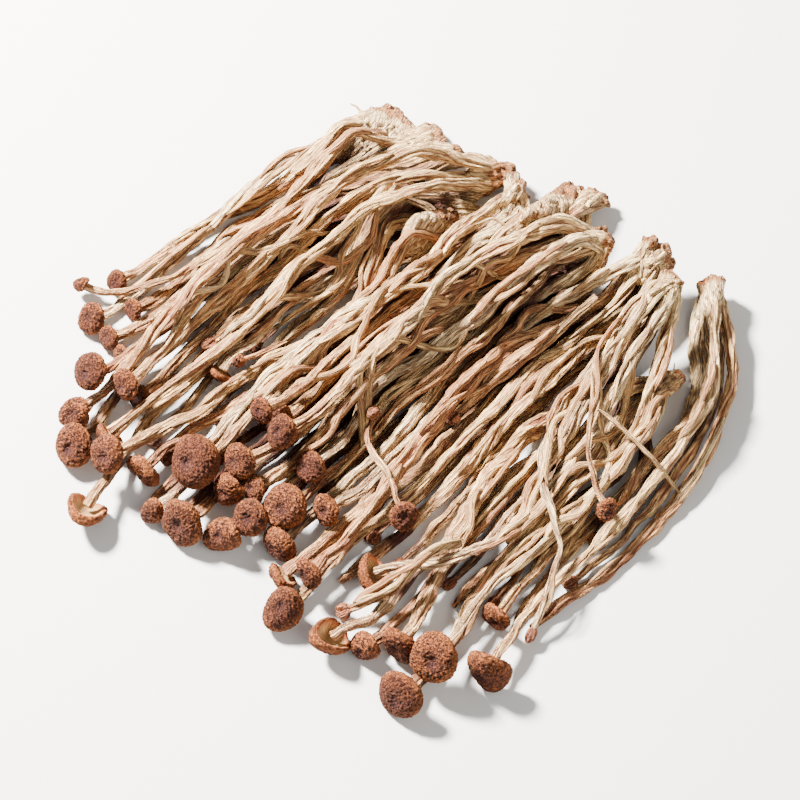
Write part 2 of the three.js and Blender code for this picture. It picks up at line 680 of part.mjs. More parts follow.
// A cap in its place: a dome with a rolled rim and a hollow underside, turned about its axis, and pressed
// flat where it meets the table.
function capGeometry({ cap, axis, joints, toCap }) {
  const section = CAP_SECTION.map(([out, up]) => new THREE.Vector2(out * cap, up * cap)).reverse();
  const geometry = new THREE.LatheGeometry(section, CAP_SIDES).rotateX(Math.PI / 2);
  geometry.applyQuaternion(new THREE.Quaternion().setFromUnitVectors(UP, axis));
  geometry.translate(...joints[joints.length - 1].clone().add(toCap));
  const points = geometry.getAttribute('position');
  for (let i = 0; i < points.count; i += 1) points.setZ(i, Math.max(0, points.getZ(i)));
  return geometry;
}

function named(name, geometry, material) {
  const mesh = new THREE.Mesh(geometry, material);
  mesh.name = name;
  return mesh;
}

// ---- the bunch ---------------------------------------------------------------------------------

const stems = heapUp();
const bunch = new THREE.Group();
for (const letter of Object.keys(CLUMPS)) {
  bunch.add(named(`clump_${letter}`, clumpGeometry(letter, stems), STEM));
}
const capped = stems.filter((stem) => stem.cap);
bunch.add(...capped.map((stem) => named(`cap_${stem.clump}${stem.number}`, capGeometry(stem), CAP)));
const loose = stems.filter((stem) => stem.clump === undefined);
bunch.add(...loose.map((stem) => named(`loose_stem_${stem.number}`, stemGeometry(stem), STEM)));

const box = new THREE.Box3().setFromObject(bunch, true);
const middle = box.getCenter(new THREE.Vector3());
bunch.position.set(-middle.x, -middle.y, 0);

export default bunch;
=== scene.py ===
# %% [markdown]
# # A bunch of dried tea tree mushrooms
#
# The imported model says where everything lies: ten clumps of stems that are grown together at the foot, a cap
# at the end of most stems, and three loose stems. Its solids are plain, though: tubes with five sides and
# domes with eight. This script keeps every piece in its place and gives it the surface of the real thing.
# Stems become ridged, twisted and shrunken, caps become wrinkled domes with a rolled rim and a hollow
# underside, and feet become knobbly clods.

# %% Load the model that everything is built round
import math

import bmesh
import bpy
import numpy as np
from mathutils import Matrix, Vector
from mathutils.bvhtree import BVHTree


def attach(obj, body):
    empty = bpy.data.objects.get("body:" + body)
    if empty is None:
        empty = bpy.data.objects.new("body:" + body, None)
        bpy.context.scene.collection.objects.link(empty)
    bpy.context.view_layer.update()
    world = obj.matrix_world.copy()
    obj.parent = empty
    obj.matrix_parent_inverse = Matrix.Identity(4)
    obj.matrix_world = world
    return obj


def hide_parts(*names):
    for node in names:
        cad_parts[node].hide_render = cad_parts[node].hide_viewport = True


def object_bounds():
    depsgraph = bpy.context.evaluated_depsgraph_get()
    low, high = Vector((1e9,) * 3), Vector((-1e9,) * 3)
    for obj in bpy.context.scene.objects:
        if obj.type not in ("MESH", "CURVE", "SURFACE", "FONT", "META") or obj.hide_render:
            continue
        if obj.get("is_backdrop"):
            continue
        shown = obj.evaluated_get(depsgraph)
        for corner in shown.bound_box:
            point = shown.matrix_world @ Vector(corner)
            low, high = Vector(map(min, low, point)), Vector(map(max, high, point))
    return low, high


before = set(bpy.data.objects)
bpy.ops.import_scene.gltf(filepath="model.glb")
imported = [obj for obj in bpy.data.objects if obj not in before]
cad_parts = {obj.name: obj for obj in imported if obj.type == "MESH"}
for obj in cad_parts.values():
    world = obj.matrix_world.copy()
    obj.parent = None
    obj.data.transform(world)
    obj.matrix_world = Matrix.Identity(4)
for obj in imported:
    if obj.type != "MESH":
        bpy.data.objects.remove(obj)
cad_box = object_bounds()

MM = 0.001
print("model:", len(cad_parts), "nodes, box in mm:", [round(v / MM) for v in cad_box[1] - cad_box[0]])

# %% [markdown]
# ## Floor, light and camera
#
# The bunch lies on a plain pale floor. A warm soft lamp stands behind its left side, across the way the
# stems run, so that every ridge has a lit and a dark flank. A wide weak lamp in front and a pale sky fill
# the dark flanks. The camera looks down at sixty degrees through a long lens, which keeps near and far stems
# about the same size.

# %% Floor, light and camera
ELEVATION = math.radians(59.6)
DISTANCE = 0.9
LENS = 122.0
AIM = Vector((0.0002, -0.0020, 0.0))
FLOOR_REACH = 2
LAMP_COLOUR = (1.0, 0.97, 0.92)
LAMPS = (  # name, place, side length, power in watts
    ("key lamp", (-0.55, 0.42, 0.70), 0.16, 144),
    ("fill lamp", (0.6, -0.6, 0.7), 0.8, 9),
)
SKY_COLOUR = (0.93, 0.96, 1.0, 1)
SKY_STRENGTH = 0.52


def linked(name, data):
    """A new object for this data, in the scene, at the origin."""
    made = bpy.data.objects.new(name, data)
    bpy.context.scene.collection.objects.link(made)
    return made


def looks_from(thing, place, at):
    """Puts a lamp or a camera at a place and turns it towards a point."""
    thing.location = place
    thing.rotation_euler = (Vector(place) - at).to_track_quat("Z", "Y").to_euler()


floor_corners = [(x * FLOOR_REACH, y * FLOOR_REACH, 0) for x, y in ((-1, -1), (1, -1), (1, 1), (-1, 1))]
floor_mesh = bpy.data.meshes.new("floor")
floor_mesh.from_pydata(floor_corners, [], [(0, 1, 2, 3)])
floor = linked("floor", floor_mesh)
floor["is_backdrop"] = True

camera = linked("camera", bpy.data.cameras.new("camera"))
camera.data.lens = LENS
looks_from(camera, AIM + DISTANCE * Vector((0, -math.cos(ELEVATION), math.sin(ELEVATION))), AIM)
bpy.context.scene.camera = camera

for name, place, size, power in LAMPS:
    lamp = linked(name, bpy.data.lights.new(name, "AREA"))
    lamp.data.size = size
    lamp.data.energy = power
    lamp.data.color = LAMP_COLOUR
    looks_from(lamp, place, Vector((0, 0, 0)))

sky = bpy.data.worlds.new("sky")
sky.use_nodes = True
sky.node_tree.nodes["Background"].inputs["Color"].default_value = SKY_COLOUR
sky.node_tree.nodes["Background"].inputs["Strength"].default_value = SKY_STRENGTH
bpy.context.scene.world = sky
print("camera at", [round(v, 3) for v in camera.location])

# %% [markdown]
# ## Where a stem runs
#
# A clump in the model is one solid: tubes that come out of a lump. Before a tube can be given a better
# surface, the line through its middle has to be known. It could be typed in again, but then the two would
# part as soon as the model changed. So the script finds it as a hand in the dark would. It starts at the
# flat end of a tube, takes small steps inwards, feels for the walls on all sides to keep to the middle, and
# turns to where the way ahead is longest, until it comes up against the back of the foot.
#
# The flat ends are found first. Triangles that share an edge and face the same way make a flat patch, and
# an end is a patch with the shape of a pentagon. From here on all lengths are in millimetres.

# %% Read a node's solid
TINY = 1e-12
LEVEL = 0.9995  # two triangles lie in one flat patch if the cosine between their normals is above this


def unit(vector):
    """The vector at length one."""
    return vector / max(np.linalg.norm(vector), TINY)


def units(rows):
    """Every row at length one."""
    return rows / np.maximum(np.linalg.norm(rows, axis=1), TINY)[:, None]


def crosses(corners, triangles):
    """For each triangle the vector square to it whose length is twice its area."""
    a, b, c = (corners[triangles[:, k]] for k in range(3))
    return np.cross(b - a, c - a)


def solid_of(node):
    """Corners of a node, its triangles as rows of three corner numbers, and their normals."""
    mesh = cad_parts[node].data
    mesh.calc_loop_triangles()
    corners = np.empty(3 * len(mesh.vertices))
    mesh.vertices.foreach_get("co", corners)
    triangles = np.empty(3 * len(mesh.loop_triangles), int)
    mesh.loop_triangles.foreach_get("vertices", triangles)
    corners, same = np.unique(np.round(corners.reshape(-1, 3) / MM, 3), axis=0, return_inverse=True)
    triangles = same.reshape(-1)[triangles].reshape(-1, 3)
    normals = crosses(corners, triangles)
    whole = np.linalg.norm(normals, axis=1) > 1e-9
    return corners, triangles[whole], units(normals[whole])


def flat_patches(triangles, normals):
    """For each triangle the number of the flat patch that it is in."""
    edges = np.sort(triangles[:, [0, 1, 1, 2, 2, 0]].reshape(-1, 2), axis=1)
    _, number, count = np.unique(edges, axis=0, return_inverse=True, return_counts=True)
    number = number.reshape(-1)
    order = np.argsort(number, kind="stable")
    order = order[count[number[order]] == 2]
    pairs = order.reshape(-1, 2) // 3
    level = pairs[(normals[pairs[:, 0]] * normals[pairs[:, 1]]).sum(1) > LEVEL]
    patch = np.arange(len(triangles))
    while True:
        lower = patch.copy()
        np.minimum.at(lower, level[:, 0], patch[level[:, 1]])
        np.minimum.at(lower, level[:, 1], patch[level[:, 0]])
        if (lower == patch).all():
            return patch
        patch = lower


# %% Flat ends of tubes
ROUNDNESS = 0.74  # a patch's area over that of a circle with the same perimeter
END_AREAS = (1.2, 50)


def tube_ends(corners, triangles, normals):
    """Middle, outward normal and radius of every flat end: a patch with 4 or 5 corners, about as round as a
    pentagon."""
    patch = flat_patches(triangles, normals)
    ends = []
    for number in np.unique(patch):
        mine = triangles[patch == number]
        rim = np.unique(mine)
        if not (2 <= len(mine) <= 3 and len(rim) == len(mine) + 2):
            continue
        normal = normals[patch == number][0]
        middle = corners[rim].mean(0)
        side = unit(np.cross(normal, (0.3, 0.5, 0.8)))
        out = corners[rim] - middle
        around = np.arctan2(out @ np.cross(normal, side), out @ side)
        ring = corners[rim][np.argsort(around)]
        perimeter = np.linalg.norm(np.roll(ring, -1, axis=0) - ring, axis=1).sum()
        area = np.linalg.norm(crosses(corners, mine), axis=1).sum() / 2
        if 4 * math.pi * area / perimeter**2 > ROUNDNESS and END_AREAS[0] < area < END_AREAS[1]:
            ends.append((middle, normal, math.sqrt(area / math.pi)))
    return ends


print("flat ends in clump_a:", len(tube_ends(*solid_of("clump_a"))))

# %% Walk along a stem
STEP = 2.0
MOST_STEPS = 120
SHORTEST_STEM = 30
WALL_GAP = 0.3
FEELERS = 10
LEANS = (0.35, 0.75)  # how far the feelers ahead lean away from straight on, in radians
FAR = 9.0  # no feeler reaches further
FOOT_SWELL = 1.2  # a stem is in its foot where its walls are this many times as far away as usual
FOOT_BACK = 4.0
PULL_TO_MIDDLE, PULL_IN_FOOT = 1.4, 0.3


def feeler_rays(ahead):
    """Unit vectors across a direction, evenly spaced round it: cos t side + sin t up."""
    side = unit(np.cross(ahead, (0.0, 0.0, 1.0)))
    up = np.cross(side, ahead)
    t = 2 * math.pi * np.arange(FEELERS) / FEELERS
    return np.cos(t)[:, None] * side + np.sin(t)[:, None] * up


def reach(tree, place, way, most):
    """Distance from a place inside the solid to its wall along a way, at most the given distance."""
    hit = tree.ray_cast(Vector(place), Vector(way), most)
    return most if hit[3] is None else hit[3]


def walked(tree, start, ahead, radius):
    """Points along the middle of a tube and its radius at each, from one end to the other."""
    place = start + ahead * 0.6
    places, radii = [place], [radius]
    usual = radius
    for _ in range(MOST_STEPS):
        across = feeler_rays(ahead)
        ways = np.vstack([[ahead]] + [ahead * math.cos(lean) + across * math.sin(lean) for lean in LEANS])
        free = np.array([reach(tree, place, way, FAR) for way in ways])
        if free.max() < STEP + 0.4:
            break
        best = ((free / free.max()) ** 4)[:, None] * ways
        turned = unit(ahead * 0.6 + unit(best.sum(0)) * 0.8)
        forward = place + turned * min(STEP, reach(tree, place, turned, STEP + 1) - WALL_GAP)
        rays = feeler_rays(turned)
        felt = np.array([reach(tree, forward, ray, 1.35 * usual) for ray in rays])
        in_foot = len(places) * STEP > SHORTEST_STEM and felt.mean() > FOOT_SWELL * usual
        if in_foot and free[0] < FOOT_BACK:
            break
        pull = PULL_IN_FOOT if in_foot else PULL_TO_MIDDLE
        centred = forward + pull * (felt[:, None] * rays).mean(0)
        step = centred - place
        turns_back = len(places) > 5 and step @ (place - places[0]) < 0
        if np.linalg.norm(step) < WALL_GAP or turns_back:
            break
        ahead = unit(step)
        place = centred
        places.append(place)
        radii.append(felt.mean())
        usual = float(np.median(radii))
    return np.array(places), np.array(radii)


def is_tube(tree, middle, normal, radius):
    """True if the solid behind a flat end is a tube: a long way ahead, and walls near on every side."""
    if reach(tree, middle - WALL_GAP * normal, -normal, 5.0) < 3.0:
        return False
    walls = [reach(tree, middle - STEP * normal, ray, FAR) for ray in feeler_rays(-normal)]
    return max(walls) < 1.7 * radius and min(walls) > 0.4 * radius


def routes_of(node):
    """The middle lines of a node's tubes, each from the head to the foot, with radii."""
    corners, triangles, normals = solid_of(node)
    tree = BVHTree.FromPolygons([Vector(c) for c in corners], triangles.tolist())
    ends = [end for end in tube_ends(corners, triangles, normals) if is_tube(tree, *end)]
    routes = [walked(tree, middle, -normal, radius) for middle, normal, radius in ends]
    return [route for route in routes if len(route[0]) * STEP > SHORTEST_STEM]


ROUTES = {name: routes_of(name) for name in sorted(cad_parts) if not name.startswith("cap")}
print("stems found:", sum(len(routes) for name, routes in ROUTES.items() if name.startswith("clump")))

# %% [markdown]
# ## Chance that looks grown
#
# Growth is never even. All irregularity here comes from one function: numbers are scattered over a grid in
# space, and between the grid points they are blended smoothly. Low frequencies bend a stem, high ones make
# the grain of its skin. The numbers come from a hash of the grid place, so they are the same in each run.
# The size of such a noise is sharp where the noise changes sign. Its square root, which is also round on
# top, is a field of soft ribs with sharp furrows between them.

# %% Smooth noise in space
def scattered(cells, seed):
    """Numbers from -1 to 1, one for each row of three whole numbers."""
    mixed = cells[..., 0] * 73856093 ^ cells[..., 1] * 19349663 ^ cells[..., 2] * 83492791
    mixed = mixed ^ (seed * 2654435761)
    mixed = (mixed ^ (mixed >> 13)) * 1274126177 & 0xFFFFFFFF
    mixed = (mixed ^ (mixed >> 15)) * 2246822519 & 0xFFFFFFFF
    return ((mixed ^ (mixed >> 13)) & 0xFFFFF) / 524287.5 - 1


def noise(points, seed):
    """Smooth noise from -1 to 1: eight scattered numbers round each point, blended with 3t^2 - 2t^3."""
    low = np.floor(points).astype(np.int64)
    t = points - low
    t = t * t * (3 - 2 * t)
    total = np.zeros(points.shape[:-1])
    for corner in range(8):
        step = np.array([corner & 1, corner >> 1 & 1, corner >> 2 & 1])
        weight = np.where(step, t, 1 - t).prod(-1)
        total += weight * scattered(low + step, seed)
    return total


def ribs(points, seed):
    """Soft ribs with sharp furrows between them, from 0 in a furrow to 1 on top."""
    return np.sqrt(np.clip(np.abs(noise(points, seed)) * 1.9, 0, 1))


def stacked(*parts):
    """Arrays, or arrays and numbers, as the components of one array of vectors."""
    return np.stack(np.broadcast_arrays(*parts), -1)


trial = noise(stacked(np.arange(0, 50, 0.1), 0.5, 0.5), 1)
print("noise along a line: from", round(trial.min(), 2), "to", round(trial.max(), 2))

# %% [markdown]
# ## Lines that are measured along their length
#
# The walk gives a rough line of points with uneven gaps. Surfaces need smooth lines with even gaps, so lines
# are blended with a bell curve and then read off again at even lengths.

# %% Smooth and even lines
HEAD_SPACING = 0.6


def smoothed(rows, width):
    """Rows blended with their neighbours, by a bell curve so many rows wide. The end rows stay."""
    half = int(3 * width) + 1
    bell = np.exp(-0.5 * (np.arange(-half, half + 1) / width) ** 2)
    bell /= bell.sum()
    rows = rows.reshape(len(rows), -1)
    if len(rows) > half:
        before = 2 * rows[0] - rows[1 : half + 1][::-1]
        after = 2 * rows[-1] - rows[-half - 1 : -1][::-1]
    else:
        before, after = np.repeat(rows[:1], half, 0), np.repeat(rows[-1:], half, 0)
    padded = np.vstack([before, rows, after])
    return np.stack([np.convolve(column, bell, "valid") for column in padded.T], axis=1)


def lengths_along(points):
    """How far along a line each of its points is."""
    return np.concatenate([[0], np.cumsum(np.linalg.norm(np.diff(points, axis=0), axis=1))])


def at_lengths(where, run, rows):
    """Rows read off at other lengths than those, run, that they are given at."""
    return np.stack([np.interp(where, run, column) for column in rows.T], axis=-1)


def resampled(places, radii, spacing, fine=0.0):
    """The same line as points, radii and lengths along it, with even spacing, closer over a first stretch."""
    run = lengths_along(places)
    rest = np.linspace(fine, run[-1], max(8, int((run[-1] - fine) / spacing) + 1))
    s = np.concatenate([np.arange(0, fine - HEAD_SPACING / 2, HEAD_SPACING), rest])
    return at_lengths(s, run, places), np.interp(s, run, radii), s


def path_frames(path):
    """Unit vectors ahead, to the side and up at each row of a path."""
    ahead = units(np.gradient(path, axis=0))
    side = units(np.cross(ahead, (0.0, 0.0, 1.0)))
    side = units(smoothed(side, 2.0))
    return ahead, side, np.cross(side, ahead)


stem_lengths = [lengths_along(places)[-1] for routes in ROUTES.values() for places, _ in routes]
print("stems in mm: shortest", round(min(stem_lengths)), "longest", round(max(stem_lengths)))

# %% [markdown]
# ## Where the caps sit, and how open a stem lies
#
# Two things about the model steer the detail. A stem with no cap has broken, so its end tapers to a frayed
# tip or swells into a bud. And a stem that is buried in the heap shows little, so its surface has fewer
# corners.

# %% Caps of the model, and open stems
CAP_TOP = 0.265  # height of a cap's top over its middle, as a share of its width
HIDDEN_SHARE = 0.42
CLEAR_OF_STEM = 5.0


def cap_place(node):
    """Middle, axis and width of a cap node. The axis is the way in which its corners spread least, and it
    points to the side where they reach further."""
    corners, _, _ = solid_of(node)
    middle = corners.mean(0)
    _, ways = np.linalg.eigh(np.cov((corners - middle).T))
    axis = ways[:, 0]
    height = (corners - middle) @ axis
    if -height.min() > height.max():
        axis, height = -axis, -height
    out = np.linalg.norm(corners - middle - height[:, None] * axis, axis=1)
    width = 2 * out.max()
    return middle + axis * (height.max() - CAP_TOP * width), axis, width


CAPS = {name: cap_place(name) for name in sorted(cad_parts) if name.startswith("cap")}
cap_middles = np.array([middle for middle, _, _ in CAPS.values()])
cap_widths = np.array([width for _, _, width in CAPS.values()])


def has_cap(place):
    """True if a stem that ends here carries a cap."""
    return bool((np.linalg.norm(cap_middles - place, axis=1) < 0.6 * cap_widths + 1).any())


def openness(places, tree):
    """Share of rays that get away from a stem, upwards and to the four sides at sixty degrees."""
    ways = [Vector((0, 0, 1))]
    ways += [Vector((0.5 * math.cos(a), 0.5 * math.sin(a), 0.87)) for a in np.arange(4) * math.pi / 2]
    rays = [(Vector(place) + way * CLEAR_OF_STEM, way) for place in places for way in ways]
    return sum(tree.ray_cast(start, way)[0] is None for start, way in rays) / len(rays)


def heap_tree():
    """All solids of the model in one tree for rays."""
    points, triangles, start = [], [], 0
    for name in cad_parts:
        corners, faces, _ = solid_of(name)
        points.append(corners)
        triangles.append(faces + start)
        start += len(corners)
    return BVHTree.FromPolygons(np.vstack(points).tolist(), np.vstack(triangles).tolist())


HEAP = heap_tree()
print("caps:", len(CAPS), "widths in mm:", round(cap_widths.min(), 1), "to", round(cap_widths.max(), 1))

# %% [markdown]
# ## One stem
#
# A dried stem is a bundle of fibres that has lost most of its water. It shrinks between the fibres, so its
# section is a ring of rounded ridges with sharp grooves between them. The ridges wander round the stem as
# they run along it, some die out, and the whole section flattens and twists. That is a surface of two
# parameters: s along the middle line, and t round it. Its radius at (s, t) is the core, plus a half-round
# bump for each strong ridge that t is near, plus the ribs of fine fibres. A sculpted mesh would look as good,
# but a formula can be grown along any line, so eighty stems cost no more work than one.

# %% Faces of a tube
def tube_faces(rows, columns):
    """Quads of a tube of rows x columns corners, and a fan at each end, as rows of corner numbers. The
    fans' middles are the two corners after the grid."""
    i, j = np.meshgrid(np.arange(rows - 1), np.arange(columns), indexing="ij")
    k = (j + 1) % columns
    quads = stacked(i * columns + j, (i + 1) * columns + j, (i + 1) * columns + k, i * columns + k)
    j, k = j[0], k[0]
    last = (rows - 1) * columns
    near = stacked(rows * columns, j, k)
    far = stacked(rows * columns + 1, last + k, last + j)
    return quads.reshape(-1, 4), np.vstack([near, far])


# %% Ridges, wanderings and the head end
RIDGES = 6
FRAY = 12.0
BUD = 5.5
BUD_SHARE = 0.6


def ridge_pattern(s, turn, bulk, offset):
    """Strong ridges and fine fibres at lengths s and angles turn, both from 0 in a groove to 1 on top."""
    strong = np.zeros_like(turn)
    for ridge in range(RIDGES):
        lane = stacked(s / 12, ridge * 7.3 + offset[0], offset[1])
        middle = 2 * math.pi * (ridge + 0.6 * noise(lane, 6)) / RIDGES
        width = (math.pi / RIDGES) * (1.0 + 0.45 * noise(lane * 0.8, 7))
        height = 0.72 + 0.5 * noise(lane * 1.1, 8)
        away = (turn - middle[:, None] + math.pi) % (2 * math.pi) - math.pi
        half_round = np.sqrt(np.clip(1 - (away / width[:, None]) ** 2, 0, 1))
        strong = np.maximum(strong, half_round * height[:, None])
    wide = bulk[:, None] / 1.35
    fibres = ribs(stacked(s[:, None] / 10, wide * np.cos(turn), wide * np.sin(turn)) + offset, 9)
    return strong, fibres


def swayed(path, s, along):
    """The middle line with small wanderings to the side and up, which fade out at both ends."""
    _, side, up = path_frames(path)
    hold = np.clip(s / 6, 0, 1) * np.clip((s[-1] - s) / 14, 0, 1)
    sway = (1.0 * noise(along / 17, 1) + 0.65 * noise(along / 6.5, 2)) * hold
    heave = (0.6 * noise(along / 13, 3) + 0.45 * noise(along / 5, 4)) * hold
    return path + sway[:, None] * side + heave[:, None] * up


def head_end(s, capped, random):
    """Thickness near the head as a share of the usual, and where a bud is: a stem with no cap ends in a bud
    or in a frayed tip."""
    no_bud = np.zeros_like(s)
    if capped:
        return np.ones_like(s), no_bud
    thinning = np.clip(1 - s / FRAY, 0, 1)
    if random.random() < BUD_SHARE:
        bud = np.sqrt(np.clip(1 - ((s - 0.45 * BUD) / (0.5 * BUD)) ** 2, 0, 1))
        return np.maximum(0.8 - 0.2 * thinning, 1.35 * bud), bud
    return 1 - 0.62 * thinning**1.5, no_bud


# %% Surface of a stem
ROUND_OPEN, ROUND_HIDDEN = 38, 26  # corners round a stem
ALONG_OPEN, ALONG_HIDDEN = 1.3, 1.9  # spacing along it
FIBRE_STRETCH = 0.075  # fibre places run this slowly along a stem, so that noise becomes streaks
LOWEST_STEM, LOWEST = 0.03, 0.05  # no corner goes below these heights


def ring_values(values, columns, near, far):
    """One value for each ring of a tube, given to all its corners and to the two ends."""
    return np.append(np.repeat(values, columns), (near, far))


def stem_surface(places, radii, seed, capped, is_open):
    """Corners, faces, skin values and fibre places of one stem.

    The middle line is s -> c(s). The section at s is c + x(t) side + y(t) up, with x = f r cos t and
    y = r sin t / f, turned by the lean, where f is the flattening and r = bulk (core + ridges + fibres +
    scales)."""
    random = np.random.default_rng(seed)
    columns, spacing = (ROUND_OPEN, ALONG_OPEN) if is_open else (ROUND_HIDDEN, ALONG_HIDDEN)
    path, radius, s = resampled(smoothed(places, 2.2), smoothed(radii, 3.0)[:, 0], spacing, FRAY / 2)
    length = s[-1]
    offset = random.uniform(0, 100, 3)
    along = stacked(s, offset[0], offset[1])
    path = swayed(path, s, along)
    ahead, side, up = path_frames(path)

    t = 2 * math.pi * np.arange(columns) / columns
    twist = offset[2] + random.uniform(-1, 1) * s / 24 + 0.8 * noise(along / 20, 5)
    turn = t + twist[:, None]
    end_share, bud = head_end(s, capped, random)
    bulk = radius * (0.97 + 0.17 * noise(along / 9, 11) + 0.13 * noise(along / 3.6, 12)) * end_share
    strong, fibres = ridge_pattern(s, turn, bulk, offset)
    near_head = np.clip(1 - s / 26, 0, 1) * random.uniform(0.3, 1.0)
    place = stacked(s[:, None] / 1.5, 2.1 * np.cos(turn), 2.1 * np.sin(turn)) + offset
    scales = noise(place, 10)
    grain = noise(place * np.array([0.5, 1.7, 1.7]), 13)
    shape = 0.37 + 0.52 * strong + 0.26 * fibres + 0.05 * grain + (0.05 + 0.17 * near_head[:, None]) * scales

    r = bulk[:, None] * shape
    low = np.clip(1.3 - path[:, 2] / 9, 0, 1)
    flatten = 1.04 + random.uniform(0.0, 0.16) + 0.13 * noise(along / 24, 14) + 0.16 * low
    lean = (0.7 * noise(along / 30, 15))[:, None]
    x = r * np.cos(t) * flatten[:, None]
    y = r * np.sin(t) / flatten[:, None]
    across = np.cos(lean) * x - np.sin(lean) * y
    upward = np.sin(lean) * x + np.cos(lean) * y
    corners = path[:, None, :] + across[..., None] * side[:, None, :] + upward[..., None] * up[:, None, :]
    corners = np.vstack([corners.reshape(-1, 3), path[0] - 0.4 * ahead[0], path[-1] + 0.15 * ahead[-1]])
    corners[:, 2] = np.maximum(corners[:, 2], LOWEST_STEM)

    # crest is high on ridges and low in grooves; the stem finish paints highlight and shade from it
    crest = 0.6 * strong + 0.45 * fibres + 0.12 * scales
    torn = 0.0 if capped else 1.0
    skin = {
        "crest": np.append(crest.ravel(), (0.4, 0.4)),
        "from_foot": ring_values(length - s, columns, length, 0),
        "from_head": ring_values(s, columns, 0, length),
        "torn": ring_values(torn * np.clip(1 - s / 5, 0, 1) * (bud == 0), columns, 0, 0),
        "bud": ring_values(np.clip(bud * 1.6, 0, 1), columns, bud.max(), 0),
        "tone": np.full(len(corners), random.random()),
    }
    wide = bulk[:, None]
    fibre = stacked(s[:, None] * FIBRE_STRETCH, wide * np.cos(turn), wide * np.sin(turn))
    fibre = np.vstack([fibre.reshape(-1, 3), [[0, 0, 0], [length * FIBRE_STRETCH, 0, 0]]]) + offset
    return corners, *tube_faces(len(s), columns), skin, fibre


trial = stem_surface(*ROUTES["clump_a"][0], 0, True, True)
print("corners of one open stem:", len(trial[0]))

# %% [markdown]
# ## Strands
#
# As a stem dries, single strands peel away from it, run beside it for a while and grow into it again further
# down. Thin young stems lie loose on the heap and follow the thick ones under them, and one, stiff and
# straight, bridges two clumps at the right. All of these are one kind of surface, a thin rough tube along a
# line, and so are the rootlets at a foot. Only the line is found in another way for each.

# %% Thin tubes
STRAND_COLUMNS = 9
ANY_FOOT, ANY_HEAD = 60, 60.0  # as far from a foot or a head as makes no difference to the colour


def thin_tube(path, thickness, seed, from_foot=ANY_FOOT):
    """Surface of a thin rough tube of changing thickness along a path, closed and pointed at both ends."""
    random = np.random.default_rng(seed)
    offset = random.uniform(0, 100, 3)
    s = lengths_along(path)
    _, side, up = path_frames(path)
    t = 2 * math.pi * np.arange(STRAND_COLUMNS) / STRAND_COLUMNS
    taper = np.clip(np.minimum(s, s[-1] - s) / 5, 0.15, 1) ** 0.6
    place = stacked(s[:, None] / 3, 1.3 * np.cos(t), 1.3 * np.sin(t))
    r = (thickness / 2 * taper)[:, None] * (1 + 0.4 * noise(place + offset, 16))
    ring = np.cos(t)[:, None] * side[:, None, :] * 1.15 + np.sin(t)[:, None] * up[:, None, :]
    corners = path[:, None, :] + r[..., None] * ring
    corners = np.vstack([corners.reshape(-1, 3), path[:1], path[-1:]])
    corners[:, 2] = np.maximum(corners[:, 2], LOWEST)
    count = len(corners)
    skin = {
        "crest": np.clip(np.append((0.75 + 0.4 * noise(place + offset, 17)).ravel(), (0.5, 0.5)), 0, 1),
        "from_foot": np.full(count, float(from_foot)),
        "from_head": np.full(count, ANY_HEAD),
        "torn": np.zeros(count),
        "bud": np.zeros(count),
        "tone": np.full(count, random.random()),
    }
    fibre = place.reshape(-1, 3) * np.array([3 * FIBRE_STRETCH, thickness / 2, thickness / 2])
    fibre = np.vstack([fibre, [[0, 0, 0], [1, 0, 0]]]) + offset
    return corners, *tube_faces(len(s), STRAND_COLUMNS), skin, fibre


def part_of(s, lengths, first, spare, random):
    """A random part of a line: which of its points are in it, where it starts and how long it is."""
    long = random.uniform(*lengths)
    start = random.uniform(first, max(first + 1, s[-1] - long - spare))
    return (s > start) & (s < start + long), start, long


# %% Lines for strands and rootlets
LOWEST_REST = 5.0  # a thin stem has left the heap where the heap's top is lower than this
TOUCH = 0.25


def strand(places, radii, seed):
    """A thin tube on the upper side of a stem, which grows into it at both ends."""
    random = np.random.default_rng(seed)
    path, radius, s = resampled(smoothed(places, 2.2), smoothed(radii, 3.0)[:, 0], 1.6)
    keep, start, long = part_of(s, (18, 48), 6, 14, random)
    path, radius, s = path[keep], radius[keep], s[keep] - start
    _, side, up = path_frames(path)
    angle = random.uniform(-0.9, 0.9) + 1.1 * noise(stacked(s / 14, seed * 1.7, 3.1), 18)
    lift = np.sin(math.pi * s / long) * random.uniform(0.0, 1.1)
    sunk_ends = 0.6 * np.clip(1 - np.minimum(s, long - s) / 4, 0, 1)
    out = np.sin(angle)[:, None] * side + np.cos(angle)[:, None] * up
    return thin_tube(path + (radius * 0.95 + lift - sunk_ends)[:, None] * out, random.uniform(0.9, 2.0), seed)


def lying_strand(places, top_at, seed):
    """A thin stem that follows a thick one, drifts off across its neighbours and lies on the heap, in a list.
    The list is empty where it would leave the heap."""
    random = np.random.default_rng(seed)
    path, _, s = resampled(smoothed(places, 3.0), np.zeros(len(places)), 1.4)
    keep, start, _ = part_of(s, (45, 95), 8, 8, random)
    path, s = path[keep], s[keep] - start
    _, side, _ = path_frames(path)
    line = stacked(s / 26, seed * 1.3, 5.7)
    drift = 10 * noise(line, 41) + 2.2 * noise(line * 3.1, 42) + random.uniform(-0.17, 0.17) * s
    path = path + drift[:, None] * side * np.array([1, 1, 0])
    if top_at(path).min() < LOWEST_REST:
        return []
    thickness = random.uniform(1.6, 2.8)
    dip = 3.6 * np.clip(1 - np.minimum(s, s[-1] - s) / 9, 0, 1) ** 2
    path[:, 2] = smoothed(top_at(path), 2.2)[:, 0] + TOUCH * thickness - dip
    return [thin_tube(smoothed(path, 1.0), thickness, seed)]


